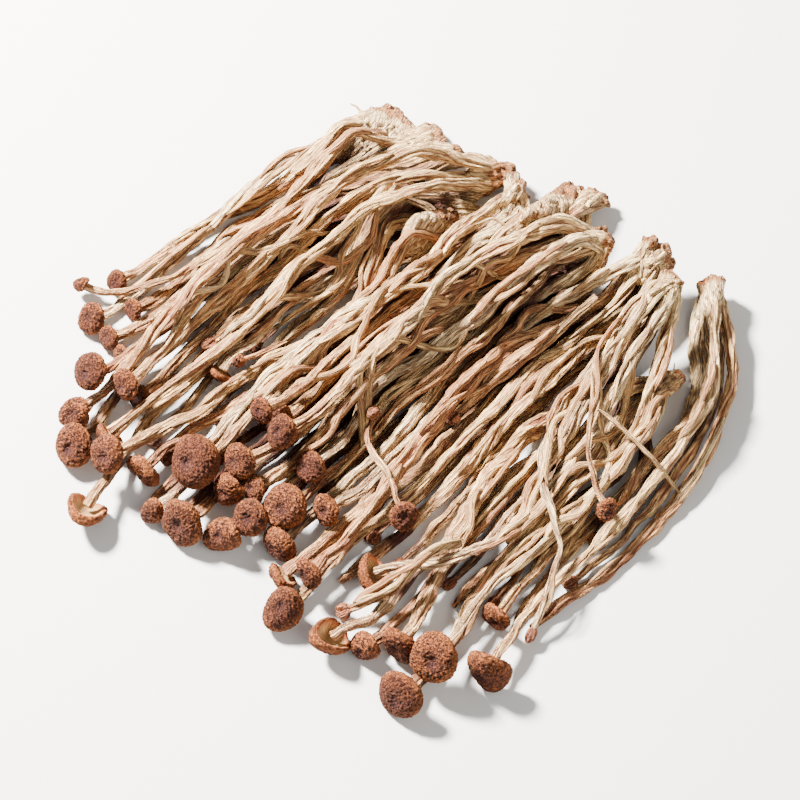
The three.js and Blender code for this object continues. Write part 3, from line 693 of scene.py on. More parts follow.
def crossing_strand(start, end, top_at, seed):
    """A thin stem that lies straight across the others, from one place on the heap to another. It is stiff,
    so it bows up until it touches only the highest stem under it."""
    share = np.linspace(0, 1, 34)
    bow = np.sin(math.pi * share)
    line = stacked(share * 4, seed * 1.1, 2.4)
    path = start + share[:, None] * (end - start)
    path += stacked(noise(line, 43), noise(line, 44), 0) * bow[:, None]
    path[:, 2] += bow * max(0, ((top_at(path) - path[:, 2]) / np.maximum(bow, 0.3)).max())
    return thin_tube(path, 1.3, seed)


def rootlet(start, way, length, thickness, seed):
    """A thin pale root that leaves a foot, wanders and sinks towards the table."""
    random = np.random.default_rng(seed)
    s = np.arange(0, length, 1.0)
    line = stacked(s / 5, seed * 0.9, 8.2)
    bend = np.stack([noise(line + 10 * k, 19) for k in range(3)], 1)
    sinking = np.array([0, 0, -0.3]) * (s / length)[:, None]
    path = start + np.cumsum(units(way + 1.3 * bend + sinking), axis=0)
    path[:, 2] = np.maximum(path[:, 2], thickness / 2)
    return thin_tube(path, thickness * random.uniform(0.8, 1.2), seed, from_foot=0)


print("corners of one strand:", len(strand(*ROUTES["clump_a"][0], 0)[0]))

# %% [markdown]
# ## Putting surfaces into a mesh
#
# A clump is one piece, so its stems, strands and foot share one mesh. The skin values, such as how far a
# point is from the foot and whether it is on a ridge or in a groove, go along as attributes of the mesh.
# The materials read them later. All of it is handed to Blender as whole arrays, with foreach_set, so
# that no Python loop runs over the corners.

# %% Mesh from surfaces
def mesh_from(name, surfaces):
    """One mesh from (corners, quads, triangles, skin values, fibre places) of several surfaces."""
    start = 0
    corners, loops, sizes, skins, fibres = [], [], [], [], []
    for points, quads, triangles, skin, fibre in surfaces:
        corners.append(points)
        loops += [(quads + start).ravel(), (triangles + start).ravel()]
        sizes += [np.full(len(quads), 4), np.full(len(triangles), 3)]
        skins.append(skin)
        fibres.append(fibre)
        start += len(points)
    corners, loops, sizes = np.vstack(corners) * MM, np.concatenate(loops), np.concatenate(sizes)
    mesh = bpy.data.meshes.new(name)
    mesh.vertices.add(len(corners))
    mesh.vertices.foreach_set("co", corners.ravel())
    mesh.loops.add(len(loops))
    mesh.loops.foreach_set("vertex_index", loops.astype(np.int32))
    mesh.polygons.add(len(sizes))
    mesh.polygons.foreach_set("loop_start", np.concatenate([[0], np.cumsum(sizes)[:-1]]).astype(np.int32))
    mesh.update(calc_edges=True)
    for key in skins[0]:
        values = np.concatenate([skin[key] for skin in skins])
        mesh.attributes.new(key, "FLOAT", "POINT").data.foreach_set("value", values.astype(np.float32))
    places = np.vstack(fibres).astype(np.float32)
    mesh.attributes.new("fibre", "FLOAT_VECTOR", "POINT").data.foreach_set("vector", places.ravel())
    mesh.shade_smooth()
    mesh.validate()
    return mesh


# %% [markdown]
# ## The foot of a clump
#
# The stems grew out of one lump, which was torn off its log and broke into clods. Each clod wraps the last
# stretch of a few stems that stand together. It starts as the tightest convex wrapping of rings round their
# ends, is rebuilt by a Remesh modifier from small even squares, and then every corner is pushed in or out:
# long furrows that run on from the stems, and crumbs and pits at the torn back. The convex wrapping alone
# would look like a cut stone, and a ball would not meet the stems.

# %% The wrapping of a clod
CLOD_SQUARE = 0.62


def wrapped(points):
    """Corners, normals and quads of the convex wrapping of points, rebuilt from small squares."""
    shell = bmesh.new()
    for point in points:
        shell.verts.new(point * MM)
    hull = bmesh.ops.convex_hull(shell, input=shell.verts)
    spare = hull["geom_interior"] + hull["geom_unused"]
    inside = {part for part in spare if isinstance(part, bmesh.types.BMVert)}
    bmesh.ops.delete(shell, geom=list(inside), context="VERTS")
    mesh = bpy.data.meshes.new("clod")
    shell.to_mesh(mesh)
    shell.free()
    thing = linked("clod", mesh)
    squares = thing.modifiers.new("squares", "REMESH")
    squares.mode = "VOXEL"
    squares.voxel_size = CLOD_SQUARE * MM
    ready = thing.evaluated_get(bpy.context.evaluated_depsgraph_get())
    rebuilt = ready.to_mesh()
    corners = np.empty(3 * len(rebuilt.vertices))
    normals = np.empty(3 * len(rebuilt.vertices))
    faces = np.empty(4 * len(rebuilt.polygons), int)
    rebuilt.vertices.foreach_get("co", corners)
    rebuilt.vertices.foreach_get("normal", normals)
    rebuilt.polygons.foreach_get("vertices", faces)
    ready.to_mesh_clear()
    bpy.data.objects.remove(thing)
    bpy.data.meshes.remove(mesh)
    return corners.reshape(-1, 3) / MM, normals.reshape(-1, 3), faces.reshape(-1, 4)


# %% Clods and rootlets
CLOD_LENGTH = 13.0
STEMS_IN_CLOD = 3
ROOTLET_SHARE = 0.35


def clod_groups(routes):
    """Routes of stems whose feet stand together, a few in each group, from one side of the foot to the
    other."""
    tails = np.array([places[-1] for places, _ in routes])
    ahead = np.mean([places[-4] - places[-1] for places, _ in routes], 0)
    order = np.argsort(tails @ np.cross(ahead, (0, 0, 1)))
    parts = np.array_split(order, max(1, round(len(order) / STEMS_IN_CLOD)))
    return [[routes[i] for i in part] for part in parts]


def clod_rings(routes, behind):
    """Rings of points round the last stretch of each stem, and the mean middles of first and last rings."""
    points, backs, fronts = [], [], []
    for places, radii in routes:
        back = places[::-1]
        run = lengths_along(back)
        ahead = unit(back[min(4, len(back) - 1)] - back[0])
        for cut, share in ((-behind, 1.1), (1.5, 1.5), (6.0, 1.35), (CLOD_LENGTH, 0.75)):
            middle = at_lengths(max(cut, 0), run, back) + min(cut, 0) * ahead
            points.append(middle + feeler_rays(ahead) * float(np.median(radii)) * share)
        backs.append(back[0] - behind * ahead)
        fronts.append(middle)
    points = np.vstack(points)
    points[:, 2] = np.maximum(points[:, 2], 0.3)
    return points, np.mean(backs, 0), np.mean(fronts, 0)


def clod_surface(routes, seed):
    """Corners, faces, skin values and fibre places of the clod round the last stretch of some stems."""
    random = np.random.default_rng(int(seed * 10))
    points, back, front = clod_rings(routes, random.uniform(1.5, 5.0))
    corners, normals, faces = wrapped(points)
    axis = unit(front - back)
    along = (corners - back) @ axis
    around = corners - back - along[:, None] * axis
    stretched = around / 1.5 + along[:, None] * axis / 11 + seed
    furrow = ribs(stretched, 21)
    broad = noise(around / 3.2 + along[:, None] * axis / 14 + seed, 22)
    grain = corners / 1.9 + seed
    crumb = (noise(grain, 23) + noise(grain * 2, 24) / 2) / 1.5
    pit = np.clip(noise(corners / 1.4 + seed, 24) - 0.2, 0, 1)
    torn = np.clip(1.15 - along / 3.2 + 0.5 * noise(corners / 2.2 + seed, 26), 0, 1)
    smooth_side = 1 - torn
    push = 1.0 * broad + smooth_side * (1.25 * furrow - 0.9) + torn * (1.1 * crumb - 1.6 * pit)
    corners = corners + normals * (push - 0.5)[:, None]
    corners[:, 2] = np.maximum(corners[:, 2], LOWEST)
    # crest is high on furrow tops and crumbs and low in furrows and pits; the finish paints highlight and
    # shade from it
    crest = smooth_side * (0.85 * furrow + 0.15 * broad + 0.1) + torn * (0.5 + 0.6 * crumb - pit)
    count = len(corners)
    skin = {
        "crest": np.clip(crest, 0, 1),
        "from_foot": np.clip(along, 0, None),
        "from_head": np.full(count, 2 * ANY_HEAD),
        "torn": torn,
        "bud": np.zeros(count),
        "tone": np.full(count, random.random() * 0.6),
    }
    return corners, faces, np.empty((0, 3), int), skin, stretched * 1.4


def foot_surfaces(routes, seed):
    """The clods of a clump's foot, and a few rootlets on them."""
    random = np.random.default_rng(int(seed * 10) + 5)
    surfaces = []
    for number, group in enumerate(clod_groups(routes)):
        surfaces.append(clod_surface(group, seed + 0.37 * number))
        if random.random() < ROOTLET_SHARE:
            places, radii = group[-1]
            start = places[-3] + np.array([0, 0, 0.8 * radii[-3]])
            way = unit(random.normal(size=3) * np.array([1, 1, 0.1]))
            long, thick = random.uniform(9, 18), random.uniform(0.9, 1.5)
            surfaces.append(rootlet(start, way, long, thick, int(seed * 10) + number))
    return surfaces


print("clods at the foot of clump_a:", len(clod_groups(ROUTES["clump_a"])))

# %% [markdown]
# ## A cap
#
# The cap is a bell that has dried hard. Its skin shrank less than its flesh, so it lies in fine wrinkles,
# like a brain. Its edge rolls under and stands as a lip round the hollow underside, where the gills are. Its
# section is a line from the top over the edge and into the hollow, and turning that line about the axis
# gives the surface. The turn is uneven: the rim wanders in and out and up and down, dents press in, and
# some caps fold over. The corners come from a ball of even triangles, so that no wrinkle is pinched at a
# pole. The wrinkles are the sum of many plane waves of one length and of all directions. Such a sum has
# ridges of one width that never run straight, which is what wrinkled skin has too.

# %% A ball of even triangles
def even_ball(times):
    """Corners on a unit ball, and triangles: an icosahedron whose edges are cut in that many parts."""
    g = (1 + math.sqrt(5)) / 2
    tips = np.array([
        (-1, g, 0), (1, g, 0), (-1, -g, 0), (1, -g, 0), (0, -1, g), (0, 1, g),
        (0, -1, -g), (0, 1, -g), (g, 0, -1), (g, 0, 1), (-g, 0, -1), (-g, 0, 1),
    ])
    sides = np.array([
        (0, 11, 5), (0, 5, 1), (0, 1, 7), (0, 7, 10), (0, 10, 11), (1, 5, 9), (5, 11, 4), (11, 10, 2),
        (10, 7, 6), (7, 1, 8), (3, 9, 4), (3, 4, 2), (3, 2, 6), (3, 6, 8), (3, 8, 9), (4, 9, 5),
        (2, 4, 11), (6, 2, 10), (8, 6, 7), (9, 8, 1),
    ])
    i, j = (grid.ravel() for grid in np.meshgrid(np.arange(times + 1), np.arange(times + 1), indexing="ij"))
    i, j = i[i + j <= times], j[i + j <= times]
    number = np.full((times + 2, times + 2), -1)
    number[i, j] = np.arange(len(i))
    points = np.einsum("pk,skc->spc", stacked(times - i - j, i, j) / times, tips[sides]).reshape(-1, 3)
    a, b = i[i + j < times], j[i + j < times]
    rising = stacked(number[a, b], number[a + 1, b], number[a, b + 1])
    a, b = i[i + j < times - 1], j[i + j < times - 1]
    falling = stacked(number[a + 1, b], number[a + 1, b + 1], number[a, b + 1])
    faces = np.vstack([rising, falling])
    faces = (faces[None] + len(i) * np.arange(len(sides))[:, None, None]).reshape(-1, 3)
    _, first, same = np.unique(np.round(points, 6), axis=0, return_index=True, return_inverse=True)
    return units(points[first]), same.ravel()[faces]


def corner_normals(corners, faces):
    """Unit normals at the corners of a triangle mesh."""
    flat = crosses(corners, faces)
    total = np.zeros_like(corners)
    for k in range(3):
        np.add.at(total, faces[:, k], flat)
    return units(total)


print("corners of a ball with edges cut in four:", len(even_ball(4)[0]))

# %% Section of a cap
CAP_LINE = np.array([
    [0.000, 0.160], [0.060, 0.170], [0.130, 0.186], [0.240, 0.184], [0.340, 0.154], [0.425, 0.096],
    [0.476, 0.015], [0.492, -0.070], [0.470, -0.145], [0.425, -0.182], [0.375, -0.172], [0.345, -0.122],
    [0.300, -0.065], [0.200, -0.020], [0.100, -0.010], [0.000, -0.005],
])
SHOULDER_ROW, RIM_ROW = 6, 9  # where the top ends and the underside starts
TRIANGLE_SIDE = 0.40
TRIANGLE_AREA = 0.433 * TRIANGLE_SIDE**2
UNDER_SHARE = 0.35  # how densely the underside is covered, against the outside
CAP_GROWTH = 1.12  # a finished cap is drawn this many times as wide as its solid


def cap_section(width, random):
    """The section as rows (out, up) at even lengths u, and the lengths of its shoulder and rim."""
    line = CAP_LINE * np.array([1, random.uniform(0.8, 1.05)]) * width
    run = lengths_along(line)
    u = np.linspace(0, run[-1], 200)
    return smoothed(at_lengths(u, run, line), 5.0), u, run[SHOULDER_ROW], run[RIM_ROW]


def turned(section, u, rim, width):
    """Faces of the surface that a section sweeps, and the u and v of each corner. A ball's corner at polar
    angle p takes the u up to which the section has swept the share (1 - cos p) / 2 of the surface."""
    weight = np.where(u < rim, 1.0, UNDER_SHARE)
    swept = np.cumsum(np.maximum(section[:, 0], 0.01 * width) * weight)
    swept = (swept - swept[0]) / (swept[-1] - swept[0])
    area = 2 * math.pi * np.sum(section[:, 0] * weight) * (u[1] - u[0])
    ball, faces = even_ball(int(math.sqrt(area / TRIANGLE_AREA / 20)) + 1)
    return faces, np.interp((1 - ball[:, 2]) / 2, swept, u), np.arctan2(ball[:, 1], ball[:, 0])


def ripple(v, counts, random):
    """Waves round the rim, of so many to the turn each, with random strengths and places."""
    return sum(random.uniform(-1, 1) / k * np.cos(k * v + random.uniform(0, 6.3)) for k in counts)


# %% Surface of a cap
WAVES = 18
WRINKLE = 1.05
GILLS = 46
FOLDED_SHARE = 0.35


def waves(points, length, random):
    """Sum of plane waves of about one length and of all directions, about -1 to 1."""
    ways = random.normal(size=(WAVES, 3))
    ways *= (2 * math.pi / length * random.uniform(0.8, 1.25, WAVES) / np.linalg.norm(ways, axis=1))[:, None]
    return np.tanh(np.cos(points @ ways.T + random.uniform(0, 6.28, WAVES)).sum(1) * math.sqrt(2 / WAVES))


def cap_surface(centre, axis, width, seed):
    """Corners, faces, skin values and places of a cap.

    The section is (out(u), up(u)) and v turns it about the axis. The rim's waves, the dimple at the top and
    the fold change out and up first, and wrinkles and gills then push each corner along its normal."""
    random = np.random.default_rng(seed)
    width = CAP_GROWTH * width
    section, u, shoulder, rim = cap_section(width, random)
    faces, at, v = turned(section, u, rim, width)
    out, up = at_lengths(at, u, section).T
    edge = (out / (0.48 * width)) ** 2
    lobes = ripple(v, (2, 3, 5), random)
    wave = ripple(v, (2, 3, 4), random)
    out = out * (1 + 0.08 * lobes * edge)
    up = up + (0.08 * wave + 0.03 * random.uniform(-1, 1)) * width * edge
    x, y = out * np.cos(v), out * np.sin(v)
    dimple = random.uniform(-0.12, 0.12, 2) * width
    sunk = np.exp(-((x - dimple[0]) ** 2 + (y - dimple[1]) ** 2) / (0.12 * width) ** 2) * (at < shoulder)
    up = up - random.uniform(0.02, 0.07) * width * sunk
    fold = random.uniform(0.35, 0.8) if random.random() < FOLDED_SHARE else random.uniform(0, 0.15)
    up = up - fold * x**2 / width
    x = x * (1 - 0.3 * fold)
    side = unit(np.cross(axis, (0.2, 0.3, 0.93)))
    turn = random.uniform(0, math.pi)
    side = math.cos(turn) * side + math.sin(turn) * np.cross(axis, side)
    corners = centre + x[:, None] * side + y[:, None] * np.cross(axis, side) + up[:, None] * axis

    normals = corner_normals(corners, faces)
    outside = np.interp(at, [rim - 0.4, rim + 0.8], [1, 0])
    shift = random.uniform(0, 50, 3)
    dent = noise(corners / (0.3 * width) + shift, 36)
    lump = noise(corners / 3.1 + shift, 37)
    warp = np.stack([noise(corners / 3.5 + shift, 30 + k) for k in range(3)], 1)
    fine = waves(corners + 0.9 * warp, WRINKLE, random)
    coarse = waves(corners + 1.2 * warp, 2.3 * WRINKLE, random)
    push = outside * (0.19 * fine + 0.07 * coarse + 0.06 * lump) + 0.012 * width * dent
    gill = np.cos(v * GILLS) * 0.06 * (1 - outside)
    corners = corners + normals * (push + gill)[:, None]
    corners[:, 2] = np.maximum(corners[:, 2], LOWEST)
    # crest is high on wrinkle tops and low in folds; the cap finish paints highlight and shade from it
    skin = {
        "crest": np.clip(0.5 + 0.36 * fine + 0.14 * coarse, 0, 1),
        "sunk": sunk,
        "outside": outside,
        "edge": np.clip(edge, 0, 1.3),
        "turn": v,
        "tone": np.full(len(corners), random.random()),
    }
    return corners, np.empty((0, 4), int), faces, skin, corners - centre


print("corners of one cap:", len(cap_surface(*CAPS["cap_a4"], 0)[0]))

# %% [markdown]
# ## Materials
#
# Shader maths reads best as a formula. The class below wraps a socket, so that `1 - mask * 2` adds the Math
# nodes itself. Colours are mixed by a Mix node, and any other node comes from `node`.

# %% A socket that can be reckoned with
class Value:
    """A shader socket in a formula."""

    def __init__(self, tree, socket):
        self.tree = tree
        self.socket = socket

    def math(self, operation, *terms, kind="ShaderNodeMath"):
        """A node for this operation on the terms."""
        made = self.tree.nodes.new(kind)
        made.operation = operation
        for socket, term in zip(made.inputs, terms):
            put(self.tree, socket, term)
        return Value(self.tree, made.outputs[0])

    def __add__(self, other):
        return self.math("ADD", self, other)

    def __sub__(self, other):
        return self.math("SUBTRACT", self, other)

    def __rsub__(self, other):
        return self.math("SUBTRACT", other, self)

    def __mul__(self, other):
        return self.math("MULTIPLY", self, other)

    __radd__ = __add__
    __rmul__ = __mul__

    def __abs__(self):
        return self.math("ABSOLUTE", self)

    def most(self, other):
        """The greater of two values."""
        return self.math("MAXIMUM", self, other)

    def stretched(self, *factors):
        """A vector with each component times its own factor."""
        return self.math("MULTIPLY", self, factors, kind="ShaderNodeVectorMath")

    def between(self, low, high):
        """0 below low, 1 above high, and smooth in between."""
        made = self.tree.nodes.new("ShaderNodeMapRange")
        made.interpolation_type = "SMOOTHSTEP"
        for name, term in (("Value", self), ("From Min", low), ("From Max", high)):
            put(self.tree, made.inputs[name], term)
        return Value(self.tree, made.outputs[0])


def put(tree, socket, term):
    """Links a value to a socket, or sets the socket to a number, colour or vector."""
    if isinstance(term, Value):
        tree.links.new(term.socket, socket)
    else:
        socket.default_value = term


# %% A material under construction
class Finish:
    """A material's node tree, its shader and the ways to add to them."""

    def __init__(self, name):
        self.material = bpy.data.materials.new(name)
        self.material.use_nodes = True
        self.tree = self.material.node_tree
        self.shader = self.tree.nodes["Principled BSDF"]

    def node(self, kind, settings=None, output=0, **sockets):
        """Any node: its type, its settings, and values or links for its sockets."""
        made = self.tree.nodes.new(kind)
        for name, value in (settings or {}).items():
            setattr(made, name, value)
        for name, term in sockets.items():
            put(self.tree, made.inputs[name.replace("_", " ")], term)
        return Value(self.tree, made.outputs[output])

    def attribute(self, name, output="Fac"):
        """A skin value of the mesh, or, as output "Vector", its fibre places."""
        return self.node("ShaderNodeAttribute", {"attribute_name": name}, output)

    def noise(self, place, scale, detail=2.0, roughness=0.5):
        """Noise at a place."""
        return self.node("ShaderNodeTexNoise", Vector=place, Scale=scale, Detail=detail, Roughness=roughness)

    def lines(self, place, scale, width):
        """1 on the thin lines where a noise crosses its middle value, 0 away from them."""
        return 1 - abs(self.noise(place, scale, 2.0, 0.55) - 0.5).between(0.0, width)

    def mix(self, mask, first, second):
        """The first colour where the mask is 0, the second where it is 1."""
        made = self.tree.nodes.new("ShaderNodeMix")
        made.data_type = "RGBA"
        put(self.tree, made.inputs[0], mask)
        put(self.tree, made.inputs[6], first)
        put(self.tree, made.inputs[7], second)
        return Value(self.tree, made.outputs[2])

    def set(self, **sockets):
        """Values or links for the shader's own sockets."""
        for name, term in sockets.items():
            put(self.tree, self.shader.inputs[name.replace("_", " ")], term)


def colour(red, green, blue):
    """A colour given as on a screen, 0 to 255, for a shader, which reckons with light."""
    shares = [c / 255 for c in (red, green, blue)]
    light = [c / 12.92 if c < 11 / 255 else ((c + 0.055) / 1.055) ** 2.4 for c in shares]
    return (*light, 1)


# %% [markdown]
# ### The skin of the stems
#
# A stem is ivory on its ridges, tan on its flanks and orange brown down in its grooves. The ivory on the
# ridges is painted highlight, and the orange brown in grooves, furrows and pits is painted shade. Both are
# mixed with streaks of the stem's own ivory and tan. Some stems are browner and some nearly white. The head
# end is darker and flecked with brown scales, the foot end is paler, and torn ends and buds are brown. Low in
# the heap the stems are painted with shade, a deep brown. Streaks follow the fibres, because the noise reads
# the fibre places, which run slowly along the stem. Cracks are the thin lines along which such a noise crosses
# its middle value. Flakes are lines too, in a noise that is squeezed along the stem, so they lie across it.

# %% Stem finish
TAN, IVORY = colour(220, 158, 112), colour(255, 214, 144)
BROWN_STEM, WHITE_STEM = colour(190, 118, 74), colour(255, 228, 176)
GROOVE_SHADE, FOOT_CREAM = colour(130, 66, 38), colour(255, 224, 164)
CRACK, FLAKE, SCALE = colour(86, 36, 20), colour(110, 58, 32), colour(112, 60, 34)
TORN_DARK, TORN_LIGHT = colour(58, 26, 13), colour(176, 112, 62)
BUD_DARK, BUD_LIGHT = colour(84, 40, 24), colour(168, 104, 68)
# painted shade colour for corners low in the heap
PAINTED_SHADE_BROWN = colour(62, 24, 13)

f = Finish("stem")
fibre = f.attribute("fibre", "Vector")
crest = f.attribute("crest")
tone = f.attribute("tone")
torn = f.attribute("torn")
from_foot = f.attribute("from_foot")
from_head = f.attribute("from_head")
streak = f.noise(fibre, 1.1, 2.0, 0.6)
thread = f.noise(fibre, 2.2, 2.0, 0.6)
cloud = f.noise(fibre, 0.3, 2.0, 0.5)
cracks = f.lines(fibre, 0.75, 0.11).most(f.lines(fibre, 1.5, 0.15) * 0.6)
near_head = 1 - from_head.between(4, 60)
across = fibre.stretched(8.0, 0.55, 0.55)
flakes = f.lines(across, 1.4, 0.12) * (near_head * 0.6 + 0.25) * streak.between(0.4, 0.6)
# painted highlight: crest lifts the ridges towards ivory, and the streak, cloud and thread noises vary the
# stem's own tan and ivory
ridge_light_and_streaks = crest * 0.8 + (streak - 0.5) * 1.9 + (cloud - 0.5) * 0.9 + (thread - 0.5) * 1.0 + 0.18

base = f.mix(ridge_light_and_streaks.between(0.05, 0.95), TAN, IVORY)
# painted shade: where crest is low, in grooves, furrows and pits, the colour is mixed towards orange brown
base = f.mix((1 - crest).between(0.45, 0.95) * 0.85, base, GROOVE_SHADE)
base = f.mix(tone.between(0.4, 1.0) * 0.65, base, BROWN_STEM)
base = f.mix((1 - tone).between(0.7, 0.95) * crest.between(0.1, 0.5) * 0.7, base, WHITE_STEM)
base = f.mix((1 - from_foot.between(6, 60)) * 0.5 * crest.between(0.15, 0.6), base, FOOT_CREAM)
base = f.mix(cracks * 0.85, base, CRACK)
base = f.mix(flakes.between(0.0, 0.6) * 0.6, base, FLAKE)
scales = f.noise(fibre, 2.2, 3.0, 0.7).between(0.47, 0.6) * (1 - from_head.between(3, 55)) * 0.8
base = f.mix(scales, base, SCALE)
torn_brown = f.mix(f.noise(fibre, 2.0, 3.0, 0.7).between(0.4, 0.6), TORN_DARK, TORN_LIGHT)
base = f.mix(torn.between(0.35, 0.8) * 0.9, base, torn_brown)
bud_brown = f.mix(thread.between(0.35, 0.65), BUD_DARK, BUD_LIGHT)
base = f.mix(f.attribute("bud"), base, bud_brown)
# painted shade: corners low in the heap are mixed towards a deep brown
base = f.mix(f.attribute("painted_shade") * 0.95, base, PAINTED_SHADE_BROWN)

relief = streak * 1.2 + thread * 0.7 - cracks * 0.8 - flakes * 0.7
bump = f.node("ShaderNodeBump", Height=relief, Strength=1.0, Distance=0.0011)
f.set(Base_Color=base, Roughness=0.7, Specular_IOR_Level=0.25, Normal=bump)
STEM_MATERIAL = f.material
print("nodes in the stem finish:", len(f.tree.nodes))

# %% [markdown]
# ### The skin of the caps
#
# The wrinkled outside is a warm red brown, with painted highlight that makes it lighter on the crests and
# painted shade that makes it nearly black down in the folds, and a darker patch at the middle. Between the
# wrinkles of the mesh run finer ones, too fine for its corners: the lines of a noise, pressed in and darkened
# with painted shade. The rim is orange brown and the hollow underside a dull tan with fine gills. Low in the
# heap the caps are painted with shade, a dark brown.

# %% Cap finish
FOLD_SHADE, CAP_BROWN, CREST_HIGHLIGHT = colour(34, 14, 7), colour(134, 74, 38), colour(192, 124, 70)
DARK_CAP, CENTRE_BROWN_AND_SHADE, PATCH = colour(62, 29, 18), colour(48, 24, 18), colour(66, 32, 22)
RIM, DIMPLE, LIP = colour(162, 94, 48), colour(52, 26, 26), colour(170, 98, 54)
GILL_DARK, GILL_LIGHT = colour(150, 106, 64), colour(208, 172, 122)

f = Finish("cap")
place = f.attribute("fibre", "Vector")
crest = f.attribute("crest")
outside = f.attribute("outside")
edge = f.attribute("edge")
tone = f.attribute("tone")
speck = f.noise(place, 1.9, 3.0, 0.65)
patch = f.noise(place, 0.17, 2.0, 0.5)
folds = f.lines(place, 0.95, 0.075)
# painted highlight and shade: this mask is high on wrinkle crests and low in folds, mixed with specks of the
# cap's own colour
height = crest * 0.7 + (speck - 0.5) * 0.8 - folds * 0.55 + 0.25

# painted shade in the folds and painted highlight on the crests
skin = f.mix(height.between(0.05, 0.9), FOLD_SHADE, CAP_BROWN)
skin = f.mix(height.between(0.75, 1.1) * 0.55, skin, CREST_HIGHLIGHT)
skin = f.mix(tone.between(0.2, 1.0) * 0.6, skin, DARK_CAP)
skin = f.mix(edge.between(0.7, 1.1) * 0.35, skin, RIM)
skin = f.mix((1 - edge).between(0.6, 1.0) * 0.4, skin, CENTRE_BROWN_AND_SHADE)
skin = f.mix((patch + (1 - edge) * 0.1).between(0.5, 0.72) * 0.5, skin, PATCH)
skin = f.mix(f.attribute("sunk") * 0.75, skin, DIMPLE)

gills = f.noise(f.node("ShaderNodeCombineXYZ", X=f.attribute("turn") * 14, Y=edge * 1.5), 1.0, 2.0, 0.5)
under = f.mix(gills.between(0.3, 0.7), GILL_DARK, GILL_LIGHT)
under = f.mix(edge.between(0.3, 0.7), under, LIP)
# painted shade: corners low in the heap are mixed towards the dark brown of the cap's middle
base = f.mix(f.attribute("painted_shade") * 0.8, f.mix(outside, under, skin), CENTRE_BROWN_AND_SHADE)

relief = (speck * 0.5 - folds) * outside + gills * (1 - outside) * 0.8
bump = f.node("ShaderNodeBump", Height=relief, Strength=1.0, Distance=0.0009)
f.set(Base_Color=base, Roughness=0.85, Specular_IOR_Level=0.15, Normal=bump)
CAP_MATERIAL = f.material
print("nodes in the cap finish:", len(f.tree.nodes))

floor_finish = Finish("floor")
floor_finish.set(Base_Color=(0.62, 0.61, 0.59, 1), Roughness=0.9)
floor_mesh.materials.append(floor_finish.material)

# %% [markdown]
# ## How deep in the heap a point lies
#
# Low in the heap the stems and caps lie in shade, and that shade is painted into their colour. Every corner
# gets one
# more value: how far it lies below the top of the heap round it. The deeper it lies, the darker brown it is
# painted. The top is found on a grid of squares, as the highest corner in each, blurred over the next few
# squares. The thin stems lie on a top that is found in the same way.

# %% The top of the heap
GRID = 1.0
MARGIN = 20  # the grid reaches this far past the heap


def heap_top(surfaces, blur):
    """A function that gives the top of the heap at points, blurred over so many squares each way."""
    points = np.vstack([corners for corners, *_ in surfaces])
    low = points[:, :2].min(0) - MARGIN
    top = np.zeros(np.ceil((points[:, :2].max(0) + MARGIN - low) / GRID).astype(int))
    cell = ((points[:, :2] - low) / GRID).astype(int)
    np.maximum.at(top, (cell[:, 0], cell[:, 1]), points[:, 2])
    steps = range(-blur, blur + 1)
    top = sum(np.roll(top, (i, j), (0, 1)) for i in steps for j in steps) / (2 * blur + 1) ** 2

    def top_at(places):
        spot = ((places[:, :2] - low) / GRID).astype(int)
        return top[spot[:, 0], spot[:, 1]]

    return top_at


# %% [markdown]
# ## The pieces
#
# Each clump, cap and loose stem of the model gets one finished piece, which takes its place in the picture.
# The stems, feet and caps are grown first. Then the thin stems are laid on top of them, as they would be on
# the real heap, and last comes the depth of every corner, which needs all the rest to be there.

# %% Grow stems, feet and caps
STRANDS_ON_STEM = 3
STRAND_SEED, CAP_SEED = 7000, 1000
SURFACES = {}
for number, (node, routes) in enumerate(ROUTES.items()):
    if node.startswith("loose"):
        routes = routes[:1]  # the walk finds a loose stem from both of its ends
    surfaces = []
    for k, (places, radii) in enumerate(routes):
        seed = 100 * number + k
        is_open = openness(places[::4], HEAP) > HIDDEN_SHARE
        surfaces.append(stem_surface(places, radii, seed, has_cap(places[0]), is_open))
        if is_open and len(places) > 20:
            surfaces += [strand(places, radii, STRAND_SEED + 10 * seed + j) for j in range(STRANDS_ON_STEM)]
    if node.startswith("clump"):
        surfaces += foot_surfaces(routes, 3.1 * number + 1)
    SURFACES[node] = surfaces
for number, (node, (centre, axis, width)) in enumerate(CAPS.items()):
    SURFACES[node] = [cap_surface(centre, axis, width, CAP_SEED + number)]
print("surfaces:", sum(len(surfaces) for surfaces in SURFACES.values()))

# %% Lay the thin stems on top
STRANDS_ON_TOP = 5
LYING_SEED, CROSSING_SEED = 900, 990
CROSSING_ENDS = (("clump_h", 0, 0.37), ("clump_j", 3, 0.45))  # node, number of a stem, share of its length


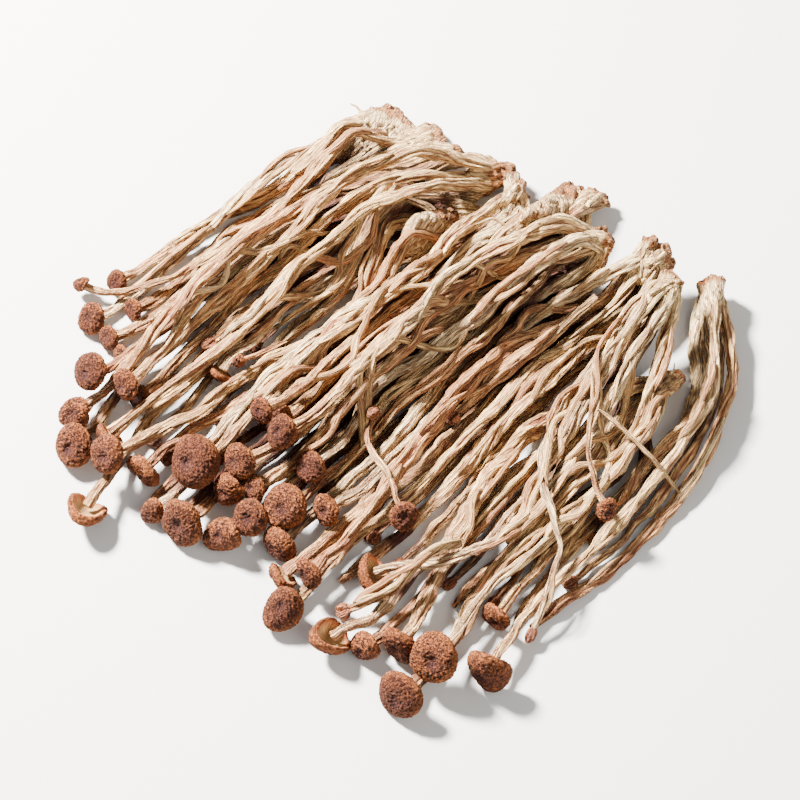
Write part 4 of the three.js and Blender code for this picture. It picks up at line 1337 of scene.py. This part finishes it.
def on_stem(node, number, share):
    """A place on the upper side of a stem."""
    places, radii = ROUTES[node][number]
    return places[int(share * len(places))] + np.array([0, 0, 1.0]) * radii[0]


top_at = heap_top([surface for node in ROUTES for surface in SURFACES[node]], 1)
for number, (node, routes) in enumerate(ROUTES.items()):
    if node.startswith("clump"):
        for j in range(STRANDS_ON_TOP):
            places, _ = routes[(2 * j + 1) % len(routes)]
            SURFACES[node] += lying_strand(places, top_at, LYING_SEED + 10 * number + j)
start, end = (on_stem(*place) for place in CROSSING_ENDS)
SURFACES["clump_h"].append(crossing_strand(start, end, top_at, CROSSING_SEED))
print("and with thin stems:", sum(len(surfaces) for surfaces in SURFACES.values()))

# %% Measure the depth of every corner
BLUR = 3
TOP_LAYER = 1.0  # nothing is darkened down to this depth
DEEP = 8.5  # and over this further depth it gets as dark as it can

top_at = heap_top([surface for surfaces in SURFACES.values() for surface in surfaces], BLUR)
for surfaces in SURFACES.values():
    for points, _, _, skin, _ in surfaces:
        # painted shade: the depth below the top of the heap darkens stems and caps in their finishes
        skin["painted_shade"] = np.clip((top_at(points) - points[:, 2] - TOP_LAYER) / DEEP, 0, 1)
counts = {
    node: sum(2 * len(quads) + len(triangles) for _, quads, triangles, _, _ in surfaces)
    for node, surfaces in SURFACES.items()
}
print("triangles in caps:", sum(counts[node] for node in CAPS), "in all:", sum(counts.values()))
print("most in one piece:", max(counts.values()))

# %% Make the pieces
for node, surfaces in SURFACES.items():
    is_cap = node in CAPS
    mesh = mesh_from(node + "_skin", surfaces)
    mesh.materials.append(CAP_MATERIAL if is_cap else STEM_MATERIAL)
    piece = linked(node + "_skin", mesh)
    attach(piece, "root")
    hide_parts(node)
print("pieces:", len(SURFACES))

# %% [markdown]
# ## The end
#
# The visible pieces may be a little larger than the solids, but not much, so how far they reach past the
# solids' box on each side is printed.

# %% Sizes
visual_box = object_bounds()
grown = [round(v / MM, 1) for v in (*(cad_box[0] - visual_box[0]), *(visual_box[1] - cad_box[1]))]
print("grown beyond the model, in mm:", grown)
